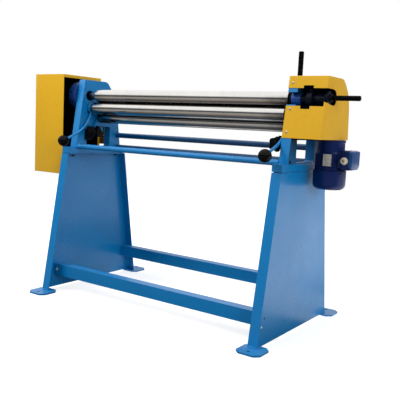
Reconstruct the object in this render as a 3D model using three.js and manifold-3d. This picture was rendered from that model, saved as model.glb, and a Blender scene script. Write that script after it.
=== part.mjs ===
// Motor-driven slip roll machine: two folded sheet stands, a roll head with three rolls,
// a swing-out top roll, eccentric pinch adjustment, wedge adjustment of the rear roll,
// a worm gearbox with a vertical motor, and sheet covers at both ends.
// Millimetres, +Z up, +X towards the motor end, -Y towards the operator.
import * as THREE from 'three';
import { mergeVertices } from 'three/addons/utils/BufferGeometryUtils.js';
import Module from 'manifold-3d';

const wasm = await Module();
wasm.setup();

// ---------------------------------------------------------------- driving dimensions
const GAP = 0.3;                  // assembly gap between separate pieces
const X_OUT = 600;                // outer face of the stand panels
const X_IN = 557;                 // inner edge of the stand flanges
const LEG_BOTTOM = 8.3, LEG_TOP = 666.5;
const LEG_HALF_BOTTOM = 313.1, LEG_HALF_TOP = 204.2;
const SHEET = 4;                  // stand panel thickness
const FOOT = { size: 105, chamfer: 20, thick: 8, x: { left: -575, right: 590 }, y: 331, holeX: -2.5, holeY: 356, holeR: 7 };
const BEAM = { h: 56, t: 3, x: 595.7, frontY: -245, frontZ: 70, frontD: 46, rearY: 240, rearZ: 93.5, rearD: 45 };
const BASE = { x0: 555, x1: 600, y: 200, z0: 669.4, z1: 698.6 };
const FRAME = { x0: 557.3, x1: 597.7, z0: 698.9, z1: 1030 };
const FRONT_SLOPE = 0.157;        // lean of the side frames' front edge
const WINDOW = { y0: -83, y1: 83, z0: 703, z1: 803 };
const ROLL_R = 30;
const TOP = { y: -60, z: 953 };   // top roll axis
const PINCH = { y: -60, z: 892.5 }; // lower front roll axis, closed position
const REAR = { y: -4, z: 851 };   // rear bending roll axis, lowest position
const PINCH_TRAVEL = 4;           // downwards, to open the nip
const REAR_TRAVEL = 14.5;
const REAR_LEAN = 20;             // degrees that the rear roll slot leans back
const PIVOT_X = -622;             // vertical swing axis of the top roll
const JOURNAL_TOP = 18, JOURNAL_PINCH = 15, JOURNAL_REAR = 12;
const SLOT_R = 24;                // open bearing slot of the right frame
const GEAR_X = [-667, -651];      // 1:1 long-tooth gears between top and pinch roll
const DRIVE_X = [602.5, 618.5];   // final drive gears
const OUTPUT = { y: 12.5, z: 856 };
const MOTOR = { x: 680, y: 62.5 };
const COVER_L = { x0: -845, x1: -640, y0: -165, y1: 95, z0: 560, z1: 1052, t: 2 };
const COVER_R = { x0: 557, x1: 721, z0: 800, z1: 1040, t: 2 };
const LEVER_X = 547;              // plane of the ball levers
const STAR_X = 513, STAR_Z = 773; // rear roll adjusting screws
const HANDLE_Z = 959;             // pull handle, a little above the top roll axis
const WEDGE = { y0: -56, y1: -30, z0: 758, z1: 807, slope: 1.2, travel: 16.3 };
const BALL = { y: -245, z: 730, r: 26.5 };
const LOCK = { x: 580, y: -60, z: 1003, rodR: 10, top: 1137 };
const ORIGIN_SHIFT_X = 6;         // brings the middle of the machine's width to the origin

// ---------------------------------------------------------------- solids helpers
function solid(geometry) {
  let g = geometry.clone();
  g.deleteAttribute('normal');
  g.deleteAttribute('uv');
  if (g.getAttribute('color')) g.deleteAttribute('color');
  g.clearGroups();
  g = mergeVertices(g, 1e-4);
  const p = g.getAttribute('position').array;
  const idx = g.getIndex().array;
  const tri = [];
  let vol = 0;
  for (let i = 0; i < idx.length; i += 3) {
    const a = idx[i], b = idx[i + 1], c = idx[i + 2];
    if (a === b || b === c || a === c) continue;
    tri.push(a, b, c);
    const [ax, ay, az] = [p[3 * a], p[3 * a + 1], p[3 * a + 2]];
    const [bx, by, bz] = [p[3 * b], p[3 * b + 1], p[3 * b + 2]];
    const [cx, cy, cz] = [p[3 * c], p[3 * c + 1], p[3 * c + 2]];
    vol += ax * (by * cz - bz * cy) - ay * (bx * cz - bz * cx) + az * (bx * cy - by * cx);
  }
  if (vol < 0) for (let i = 0; i < tri.length; i += 3) { const t = tri[i]; tri[i] = tri[i + 1]; tri[i + 1] = t; }
  return new wasm.Manifold(new wasm.Mesh({
    numProp: 3, vertProperties: new Float32Array(p), triVerts: new Uint32Array(tri),
  }));
}
function geometryOf(m) {
  const mesh = m.getMesh();
  const n = mesh.numProp;
  const pos = new Float32Array(mesh.vertProperties.length / n * 3);
  for (let i = 0; i < pos.length / 3; i++) for (let k = 0; k < 3; k++) pos[3 * i + k] = mesh.vertProperties[n * i + k];
  const g = new THREE.BufferGeometry();
  g.setAttribute('position', new THREE.BufferAttribute(pos, 3));
  g.setIndex(new THREE.BufferAttribute(new Uint32Array(mesh.triVerts), 1));
  g.computeVertexNormals();
  return g;
}
const cut = (a, ...rest) => rest.reduce((m, b) => m.subtract(b), a);
const join = (a, ...rest) => rest.reduce((m, b) => m.add(b), a);

function box(x0, x1, y0, y1, z0, z1) {
  const g = new THREE.BoxGeometry(Math.abs(x1 - x0), Math.abs(y1 - y0), Math.abs(z1 - z0));
  g.translate((x0 + x1) / 2, (y0 + y1) / 2, (z0 + z1) / 2);
  return solid(g);
}
function cylX(r, x0, x1, y, z, seg = 24) {
  const g = new THREE.CylinderGeometry(r, r, Math.abs(x1 - x0), seg);
  g.rotateZ(-Math.PI / 2); g.translate((x0 + x1) / 2, y, z);
  return solid(g);
}
function cylY(r, y0, y1, x, z, seg = 20) {
  const g = new THREE.CylinderGeometry(r, r, Math.abs(y1 - y0), seg);
  g.translate(x, (y0 + y1) / 2, z);
  return solid(g);
}
function cylZ(r, z0, z1, x, y, seg = 24) {
  const g = new THREE.CylinderGeometry(r, r, Math.abs(z1 - z0), seg);
  g.rotateX(Math.PI / 2); g.translate(x, y, (z0 + z1) / 2);
  return solid(g);
}
// outline given as [y, z] points, extruded along X
function prismX(points, x0, x1, holes = []) {
  const s = new THREE.Shape(points.map(([y, z]) => new THREE.Vector2(y, z)));
  for (const h of holes) s.holes.push(new THREE.Path(h.map(([y, z]) => new THREE.Vector2(y, z))));
  const g = new THREE.ExtrudeGeometry(s, { depth: Math.abs(x1 - x0), bevelEnabled: false, curveSegments: 12 });
  const m = new THREE.Matrix4().set(0, 0, 1, Math.min(x0, x1), 1, 0, 0, 0, 0, 1, 0, 0, 0, 0, 0, 1);
  g.applyMatrix4(m);
  return solid(g);
}
// outline given as [x, y] points, extruded along Z
function prismZ(points, z0, z1) {
  const s = new THREE.Shape(points.map(([x, y]) => new THREE.Vector2(x, y)));
  const g = new THREE.ExtrudeGeometry(s, { depth: z1 - z0, bevelEnabled: false });
  g.translate(0, 0, z0);
  return solid(g);
}
// outline given as [z, x] points, extruded along Y
function prismY(points, y0, y1) {
  const s = new THREE.Shape(points.map(([z, x]) => new THREE.Vector2(z, x)));
  const g = new THREE.ExtrudeGeometry(s, { depth: y1 - y0, bevelEnabled: false });
  const m = new THREE.Matrix4().set(0, 1, 0, 0, 0, 0, 1, y0, 1, 0, 0, 0, 0, 0, 0, 1);
  g.applyMatrix4(m);
  return solid(g);
}
// profile given as [axial, radius] points that start and end on the axis
function lathe(profile, seg, place) {
  const pts = profile.map(([a, r]) => new THREE.Vector2(r, a));
  const g = new THREE.LatheGeometry(pts, seg);
  place(g);
  return solid(g);
}
const latheX = (profile, y, z, seg = 28) => lathe(profile, seg, (g) => { g.rotateZ(-Math.PI / 2); g.translate(0, y, z); });
const latheZ = (profile, x, y, seg = 28) => lathe(profile, seg, (g) => { g.rotateX(Math.PI / 2); g.translate(x, y, 0); });
const latheY = (profile, x, z, seg = 20) => lathe(profile, seg, (g) => { g.translate(x, 0, z); });
// spur gear outline with straight-flanked teeth; a tooth centre lies at angle phase
function gearOutline(teeth, rTip, rRoot, wTip, wRoot, cy, cz, phase) {
  const out = [];
  for (let i = 0; i < teeth; i++) {
    const a = phase + (i / teeth) * 2 * Math.PI;
    for (const [r, w, s] of [[rRoot, wRoot, -1], [rTip, wTip, -1], [rTip, wTip, 1], [rRoot, wRoot, 1]]) {
      const t = a + s * (w / 2) / r;
      out.push([cy + r * Math.cos(t), cz + r * Math.sin(t)]);
    }
  }
  return out;
}
const span = (s, a, b) => (s > 0 ? [a, b] : [-b, -a]);   // X range mirrored to side s

// ---------------------------------------------------------------- materials
const mat = (color, roughness, metalness) => () => new THREE.MeshStandardMaterial({ color, roughness, metalness });
const BLUE = mat(0x1878b8, 0.42, 0.0);
const NAVY = mat(0x1a2360, 0.45, 0.0);
const YELLOW = mat(0xd8a626, 0.45, 0.0);
const STEEL = mat(0xb9bcbf, 0.32, 1.0);
const BRIGHT = mat(0xd0d2d4, 0.25, 1.0);
const BRONZE = mat(0xa9803f, 0.4, 1.0);
const IRON = mat(0x4a4d50, 0.6, 0.8);
const BLACK = mat(0x121214, 0.5, 0.0);
const BLACK_GLOSS = mat(0x0b0b0c, 0.22, 0.0);
const LIGHT_GREY = mat(0xb4b6b0, 0.5, 0.1);
const ALU = mat(0xc6c8ca, 0.38, 1.0);

const machine = new THREE.Group();
const stand = new THREE.Group(), head = new THREE.Group(), rolls = new THREE.Group();
const adjusters = new THREE.Group(), covers = new THREE.Group(), drive = new THREE.Group();
machine.add(stand, head, rolls, adjusters, covers, drive);
function piece(group, name, m, material) {
  const mesh = new THREE.Mesh(geometryOf(m), material());
  mesh.name = name;
  group.add(mesh);
  return mesh;
}
const sides = [[-1, 'left'], [1, 'right']];

// ---------------------------------------------------------------- stand
const legSlope = (LEG_HALF_BOTTOM - LEG_HALF_TOP) / (LEG_TOP - LEG_BOTTOM);
for (const [s, side] of sides) {
  const [xa, xb] = span(s, X_IN, X_OUT);
  const [ca, cb] = span(s, X_IN - 8, X_OUT - SHEET);
  const outer = prismX([[-LEG_HALF_BOTTOM, LEG_BOTTOM], [LEG_HALF_BOTTOM, LEG_BOTTOM], [LEG_HALF_TOP, LEG_TOP], [-LEG_HALF_TOP, LEG_TOP]], xa, xb);
  const t = SHEET * Math.hypot(1, legSlope);
  const zb = LEG_BOTTOM - 6, zt = LEG_TOP - SHEET;
  const hb = LEG_HALF_BOTTOM + 6 * legSlope - t, ht = LEG_HALF_TOP + SHEET * legSlope - t;
  const inner = prismX([[-hb, zb], [hb, zb], [ht, zt], [-ht, zt]], ca, cb);
  piece(stand, `${side}_leg_panel`, cut(outer, inner, cylX(5, s * 590, s * 606, -267, 113.6, 16)), BLUE);
  for (const [f, end] of [[-1, 'front'], [1, 'rear']]) {
    const h = FOOT.size / 2, c = FOOT.chamfer, x = FOOT.x[side], y = f * FOOT.y;
    const plate = prismZ([[x - h + c, y - h], [x + h - c, y - h], [x + h, y - h + c], [x + h, y + h - c],
      [x + h - c, y + h], [x - h + c, y + h], [x - h, y + h - c], [x - h, y - h + c]], 0, FOOT.thick);
    piece(stand, `${side}_${end}_foot_plate`, cut(plate, cylZ(FOOT.holeR, -2, 14, x + FOOT.holeX, f * FOOT.holeY, 20)), BLUE);
  }
}
function beam(y, z, d) {
  const { h, t, x } = BEAM;
  const section = [[y, z], [y + d, z], [y + d, z + t], [y + t, z + t], [y + t, z + h - t], [y + d, z + h - t], [y + d, z + h], [y, z + h]];
  return join(prismX(section, -x, x), box(-x, -x + t, y + 0.5, y + d - 1, z + 1, z + h - 1), box(x - t, x, y + 0.5, y + d - 1, z + 1, z + h - 1));
}
piece(stand, 'front_beam', beam(BEAM.frontY, BEAM.frontZ, BEAM.frontD), BLUE);
piece(stand, 'rear_beam', beam(BEAM.rearY, BEAM.rearZ, BEAM.rearD), BLUE);

// ---------------------------------------------------------------- head bases and side frames
for (const [s, side] of sides) {
  const [xa, xb] = span(s, BASE.x0, BASE.x1);
  const [pa, pb] = span(s, BASE.x0 + 5, BASE.x1 - 3);
  const bar = prismY([[BASE.z0, xa], [BASE.z1 - 2, xa], [BASE.z1, xa + 2], [BASE.z1, xb - 2], [BASE.z1 - 2, xb], [BASE.z0, xb]], -BASE.y, BASE.y);
  piece(head, `${side}_head_base`, join(bar, box(pa, pb, -BASE.y + 8, BASE.y - 8, LEG_TOP + GAP, BASE.z0 + 0.2)), BLUE);
}
const frontY = (z) => -151.8 + (z - 698.6) * FRONT_SLOPE;
const frameOutline = [[frontY(FRAME.z0), FRAME.z0], [163.2, FRAME.z0], [146.5, 817], [126, 943], [92, 988], [70, 1015], [58, 1026], [45, FRAME.z1],
  [frontY(1024) + 3.5, FRAME.z1], [frontY(1024), 1024]];
const windowHole = [[WINDOW.y0 + 6, WINDOW.z0], [WINDOW.y1 - 6, WINDOW.z0], [WINDOW.y1, WINDOW.z0 + 6], [WINDOW.y1, WINDOW.z1 - 6],
  [WINDOW.y1 - 6, WINDOW.z1], [WINDOW.y0 + 6, WINDOW.z1], [WINDOW.y0, WINDOW.z1 - 6], [WINDOW.y0, WINDOW.z0 + 6]];
const lean = THREE.MathUtils.degToRad(REAR_LEAN);
const rearDir = [Math.sin(lean), Math.cos(lean)];
function obround(ya, za, yb, zb, r, x0, x1, seg = 28) {
  const a = Math.atan2(zb - za, yb - ya), n = seg / 2, pts = [];
  for (let i = 0; i <= n; i++) { const t = a - Math.PI / 2 + (i / n) * Math.PI; pts.push([yb + r * Math.cos(t), zb + r * Math.sin(t)]); }
  for (let i = 0; i <= n; i++) { const t = a + Math.PI / 2 + (i / n) * Math.PI; pts.push([ya + r * Math.cos(t), za + r * Math.sin(t)]); }
  return prismX(pts, x0, x1);
}
function sideFrame(s) {
  const [xa, xb] = span(s, FRAME.x0, FRAME.x1);
  const [ca, cb] = span(s, FRAME.x0 - 5, FRAME.x1 + 5);
  const m = prismX(frameOutline, xa, xb, [windowHole]);
  const pinchSlot = box(ca, cb, PINCH.y - 20, PINCH.y + 20, PINCH.z - 20 - PINCH_TRAVEL - 0.8, PINCH.z + 20.4);
  const rearSlot = obround(REAR.y - 0.3 * rearDir[0], REAR.z - 0.3 * rearDir[1], REAR.y + (REAR_TRAVEL + 0.4) * rearDir[0], REAR.z + (REAR_TRAVEL + 0.4) * rearDir[1], 18.4, ca, cb);
  return cut(m, pinchSlot, rearSlot);
}
piece(head, 'left_side_frame', cut(sideFrame(-1), obround(TOP.y - 8, TOP.z, TOP.y + 1, TOP.z, SLOT_R, -603, -552)), BLUE);
const rightSlot = join(cylX(SLOT_R, 552, 603, TOP.y, TOP.z, 32), box(552, 603, -130, TOP.y, TOP.z - SLOT_R, TOP.z + SLOT_R));
const forkSlot = join(box(567.5, 592.5, -88, 16, 983, 1040), box(567.5, 592.5, -84, -36, 965, 984));
const screwTilt = Math.atan(FRONT_SLOPE);
const coverScrews = [[575, 1013], [575, 912], [575, 823]];
function tilted(geometry, x, y, z) {           // stands a Y-axis geometry square to the leaning front
  geometry.rotateX(-screwTilt); geometry.translate(x, y, z);
  return solid(geometry);
}
const tapped = coverScrews.map(([x, z]) => {
  const g = new THREE.CylinderGeometry(3.3, 3.3, 24, 16);
  return tilted(g, x, frontY(z) - 2.0, z);
});
piece(head, 'right_side_frame', cut(sideFrame(1), rightSlot, forkSlot, cylX(6.3, 559, 596, LOCK.y, LOCK.z, 20), ...tapped), BLUE);

const rod = (r, y, z, x) => cylX(r, -x, x, y, z, 24);
piece(head, 'front_tie_rod', rod(12.5, -140, 702.5, BASE.x0 - GAP), BLUE);
piece(head, 'rear_upper_tie_rod', rod(13.5, 140, 761, X_IN), BLUE);
piece(head, 'rear_lower_tie_rod', rod(12.5, 140, 700, BASE.x0 - GAP), BLUE);

// ---------------------------------------------------------------- rolls
piece(rolls, 'top_roll', latheX([[-672, 0], [-672, 15], [-649, 15], [-649, JOURNAL_TOP], [-506, JOURNAL_TOP], [-504, ROLL_R - 1.5], [-502.5, ROLL_R],
  [545.5, ROLL_R], [547, ROLL_R - 1.5], [547, JOURNAL_TOP], [704, JOURNAL_TOP], [704, 0]], TOP.y, TOP.z, 28), STEEL);
piece(rolls, 'pinch_roll', latheX([[-672, 0], [-672, 12], [-598, 12], [-598, JOURNAL_PINCH], [-522, JOURNAL_PINCH], [-522, ROLL_R - 1.5], [-520.5, ROLL_R],
  [533.5, ROLL_R], [535, ROLL_R - 1.5], [535, JOURNAL_PINCH], [599, JOURNAL_PINCH], [599, 13], [620.5, 13], [620.5, 0]], PINCH.y, PINCH.z, 28), STEEL);
piece(rolls, 'rear_roll', latheX([[-597, 0], [-597, JOURNAL_REAR], [-538, JOURNAL_REAR], [-538, ROLL_R - 1.5], [-536.5, ROLL_R],
  [536.5, ROLL_R], [538, ROLL_R - 1.5], [538, JOURNAL_REAR], [597, JOURNAL_REAR], [597, 0]], REAR.y, REAR.z, 28), STEEL);

// left end of the top roll: self-aligning bearing in a round flanged housing
const SEAT_R = 31.4, BALL_BEARING_R = 31;
const sphere = (r, x, y, z, w = 20, h = 12) => { const g = new THREE.SphereGeometry(r, w, h); g.rotateZ(Math.PI / 2); g.translate(x, y, z); return solid(g); };
const housing = latheX([[-644, 0], [-644, 66], [-641, 69], [-598.3, 69], [-598.3, 0]], TOP.y, TOP.z, 40);
piece(head, 'swivel_bearing_housing', cut(housing, cylX(24, -650, -590, TOP.y, TOP.z, 24), sphere(SEAT_R, PIVOT_X, TOP.y, TOP.z),
  box(-650, -590, PINCH.y - 14, PINCH.y + 14, 875, PINCH.z), cylX(14, -650, -590, PINCH.y, PINCH.z, 28)), NAVY);
piece(rolls, 'swivel_bearing', cut(sphere(BALL_BEARING_R, PIVOT_X, TOP.y, TOP.z).intersect(box(PIVOT_X - 15, PIVOT_X + 15, -110, -10, 900, 1000)),
  cylX(JOURNAL_TOP + GAP, PIVOT_X - 20, PIVOT_X + 20, TOP.y, TOP.z, 24)), STEEL);

// long-tooth 1:1 gears that drive the top roll from the pinch roll
const TEETH_1 = 11, PITCH_1 = (TOP.z - PINCH.z + PINCH_TRAVEL / 2) / 2;
const swingShift = 2.2 / PITCH_1 / 2;          // rest position of the teeth, centred for the swing of the top roll
const gear1 = (axis, phase, bore) => cut(prismX(gearOutline(TEETH_1, 35.5, 22.3, 2.0, 5.0, axis.y, axis.z, phase), ...GEAR_X),
  cylX(bore, GEAR_X[0] - 2, GEAR_X[1] + 2, axis.y, axis.z, 28));
piece(rolls, 'top_roll_gear', gear1(TOP, -Math.PI / 2 - swingShift, 15.3), IRON);
piece(rolls, 'pinch_roll_gear', gear1(PINCH, Math.PI / 2 + Math.PI / TEETH_1 - swingShift, 12.3), IRON);

// bearings
for (const [s, side] of sides) {
  const [xa, xb] = span(s, FRAME.x0, FRAME.x1);
  const block = box(xa, xb, PINCH.y - 19.5, PINCH.y + 19.5, PINCH.z - 20, PINCH.z + 20);
  piece(rolls, `${side}_pinch_bearing_block`, cut(block, cylX(JOURNAL_PINCH + GAP, s * 540, s * 610, PINCH.y, PINCH.z, 24)), IRON);
  // rear roll bearing bush with the arm that rides on the adjusting wedge
  const [ba, bb] = span(s, 541, 597.3);
  const [ya, yb] = span(s, 541, 552);
  const [fa, fb] = span(s, 499, 552);
  const wz = (y) => WEDGE.z1 - WEDGE.slope * (y - WEDGE.y0) + 0.4;
  const foot = prismX([[-43, wz(-43)], [-31, wz(-31)], [-31, 800], [-43, 800]], fa, fb);
  const plate = prismX([[-43, 794], [-30, 794], [-27, 806], [12, 845], [-18, 855], [-43, 812]], ya, yb);
  const arm = join(cylX(18, ba, bb, REAR.y, REAR.z, 24), plate, foot);
  piece(rolls, `${side}_rear_bearing_arm`, cut(arm, cylX(JOURNAL_REAR + GAP, s * 530, s * 610, REAR.y, REAR.z, 20)), BLUE);
}

// right end of the top roll: round bearing housing, swing yoke and pull handle
piece(rolls, 'right_bearing_housing', cut(cylX(SLOT_R - 0.5, 557, 598, TOP.y, TOP.z, 32), cylX(JOURNAL_TOP + GAP, 550, 605, TOP.y, TOP.z, 24)), BLUE);
const yoke = join(latheX([[598.3, 0], [598.3, 21], [627, 21], [627, 38.5], [652, 38.5], [652, 23], [705, 23], [705, 0]], TOP.y, TOP.z, 26),
  latheX([[700, 0], [700, 27.5], [711.5, 27.5], [711.5, 14], [722, 14], [722, 0]], TOP.y, HANDLE_Z, 26));
piece(rolls, 'swing_yoke', cut(yoke, cylX(JOURNAL_TOP + GAP, 590, 704.5, TOP.y, TOP.z, 24), cylX(6.3, 711.7, 730, TOP.y, HANDLE_Z, 16)), BLACK);
piece(rolls, 'pull_handle', latheX([[712, 0], [712, 6], [722.3, 6], [722.3, 9.4], [723, 10], [831, 10], [833, 8], [833, 0]], TOP.y, HANDLE_Z, 20), BLACK);

// lock lever: cam over the bearing slot with a bar handle
const cam = join(cylX(18, 569, 591, LOCK.y, LOCK.z, 24), cylX(17.5, 569, 591, LOCK.y, 995, 24), cylX(6, 560, 595.5, LOCK.y, LOCK.z, 16));
const bar = latheZ([[LOCK.z, 0], [LOCK.z, LOCK.rodR], [LOCK.top - 2, LOCK.rodR], [LOCK.top, LOCK.rodR - 2], [LOCK.top, 0]], LOCK.x, LOCK.y, 20);
piece(head, 'lock_lever', join(cam, bar), BLACK);

// ---------------------------------------------------------------- adjusters
for (const [s, side] of sides) {
  // eccentric lever on the pinch roll journal
  const x = s * LEVER_X;
  const [ha, hb] = span(s, 540.5, 553.5);
  const path = new THREE.CatmullRomCurve3([[PINCH.y - 5, PINCH.z - 16], [-73, 852], [-86, 829], [-106, 802], [-138, 777], [-174, 760], [-206, 746.5], [-232, 735.6]].map(([y, z]) => new THREE.Vector3(x, y, z)));
  const section = new THREE.Shape(); section.absarc(0, 0, 7, 0, Math.PI * 2, false);
  const armGeo = new THREE.ExtrudeGeometry(section, { steps: 12, extrudePath: path, curveSegments: 4, bevelEnabled: false });
  const hub = cylX(26, ha, hb, PINCH.y, PINCH.z, 24);
  piece(adjusters, `${side}_eccentric_lever`, cut(join(hub, solid(armGeo)), cylX(JOURNAL_PINCH + GAP, s * 530, s * 560, PINCH.y, PINCH.z, 24)), BLUE);
  // ball knob with a blind bore for the lever
  const knob = new THREE.SphereGeometry(BALL.r, 16, 11);
  knob.translate(x, BALL.y, BALL.z);
  const dir = new THREE.Vector3(0, -58, -24.4).normalize();
  const bore = new THREE.CylinderGeometry(7.6, 7.6, 40, 12);
  bore.applyQuaternion(new THREE.Quaternion().setFromUnitVectors(new THREE.Vector3(0, 1, 0), dir));
  bore.translate(x, -232 - dir.y * 19.4, 735.6 - dir.z * 19.4);
  piece(adjusters, `${side}_ball_knob`, cut(solid(knob), solid(bore)), BLACK_GLOSS);
  // star knob with its threaded screw
  const sx = s * STAR_X, lobes = [];
  for (let i = 0; i < 30; i++) {
    const a = (i / 30) * 2 * Math.PI, r = 29 + 3 * Math.cos(5 * a);
    lobes.push([STAR_Z + r * Math.cos(a), sx + r * Math.sin(a)]);
  }
  const star = join(prismY(lobes, -106, -90), latheY([[-110, 0], [-110, 12], [-106, 14], [-90, 14], [-84, 11], [-84, 6], [WEDGE.y0 - GAP, 6], [WEDGE.y0 - GAP, 0]], sx, STAR_Z, 20));
  piece(adjusters, `${side}_star_knob_screw`, star, BLACK);
  // threaded bracket with the wedge floor
  const [pa, pb] = span(s, 549, 557);
  const [na, nb] = span(s, 499, 557);
  const [wa, wb] = span(s, 499, 526);
  const bracket = join(box(pa, pb, -97, -58, 735, 788), box(na, nb, -67, -58, 752, 795), box(wa, wb, -67, -14, 752, WEDGE.z0 - GAP));
  piece(adjusters, `${side}_adjuster_bracket`, cut(bracket, cylY(6.3, -72, -52, sx, STAR_Z, 24)), IRON);
  // adjusting wedge
  piece(adjusters, `${side}_adjusting_wedge`, prismX([[WEDGE.y0, WEDGE.z0], [WEDGE.y1, WEDGE.z0],
      [WEDGE.y1, WEDGE.z1 - WEDGE.slope * (WEDGE.y1 - WEDGE.y0)], [WEDGE.y0, WEDGE.z1]], ...span(s, 501, 525)), IRON);
}

// ---------------------------------------------------------------- covers
{
  const c = COVER_L;
  const shell = box(c.x0, c.x1, c.y0, c.y1, c.z0, c.z1);
  const inside = box(c.x0 + c.t, c.x1 - c.t, c.y0 + c.t, c.y1 - c.t, c.z0 + c.t, c.z1 - c.t);
  const mouth = box(c.x1 - 5, c.x1 + 5, c.y0 + c.t, c.y1 - 15, c.z0 + 15, c.z1 - 15);
  piece(covers, 'gear_cover', cut(shell, inside, mouth), YELLOW);
  const by = c.y1 + GAP;
  piece(covers, 'gear_cover_bracket', join(prismY([[712, -720], [712, -614], [822, -614], [834, -598.3], [920, -598.3], [920, -720]], by, c.y1 + 6), box(-604.3, -598.3, by, 125, 834, 920)), YELLOW);
}
{
  const c = COVER_R;
  const yo = (z) => frontY(z) - 2.6;
  const outer = [[yo(c.z0), c.z0], [131, c.z0], [120, 923], [112, 962], [95, 992], [68, 1022], [46, 1037], [30, c.z1], [yo(c.z1), c.z1]];
  const it = 2.05;
  const inner = [[yo(c.z0 - 10) + it, c.z0 - 10], [129.9, c.z0 - 10], [118, 923], [110.1, 961.4], [93.4, 990.8], [66.7, 1020.3], [45, 1035.1], [29.6, c.z1 - c.t], [yo(c.z1 - c.t) + it, c.z1 - c.t]];
  const lap = [[yo(c.z0 - 10) + it, c.z0 - 10], [200, c.z0 - 10], [200, 1060], [44, 1060], [44, c.z1 - c.t], [yo(c.z1 - c.t) + it, c.z1 - c.t]];
  const frontSlot = join(box(550, 713, -150, -85, 924.5, 993), box(712, 730, -150, -85, 942, 993), box(622, 664, -150, -85, 990, 1003.5), box(618, 657, -150, -85, 913, 926));
  const slotEnd = Array.from({ length: 15 }, (_, i) => { const t = THREE.MathUtils.degToRad(-105 + i * 13.2); return [-46 + 30.5 * Math.cos(t), 961 + 30.5 * Math.sin(t)]; });
  const sideSlot = prismX([[-135, 941.5], [-100, 938], [-72, 932.8], ...slotEnd, [-56, 993], [-135, 993]], 715, 726);
  const topSlot = box(568, 592, -74, 20, 1034, 1046);
  const holes = coverScrews.map(([x, z]) => tilted(new THREE.CylinderGeometry(3.3, 3.3, 14, 16), x, yo(z) + 1, z));
  piece(covers, 'drive_cover', cut(prismX(outer, c.x0, c.x1), prismX(inner, 598.6, c.x1 - c.t), prismX(lap, c.x0 - 5, 598.7), frontSlot, sideSlot, topSlot, ...holes), YELLOW);
  coverScrews.forEach(([x, z], i) => {
    const g = new THREE.LatheGeometry([[0, -4.2], [4.2, -4.2], [6, -2.6], [6, -GAP], [3, -GAP], [3, 11], [0, 11]].map(([r, a]) => new THREE.Vector2(r, a)), 18);
    const mesh = piece(covers, `drive_cover_screw_${i + 1}`, solid(g), BRIGHT);
    mesh.rotation.x = -screwTilt;
    mesh.position.set(x, yo(z), z);
  });
}

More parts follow.
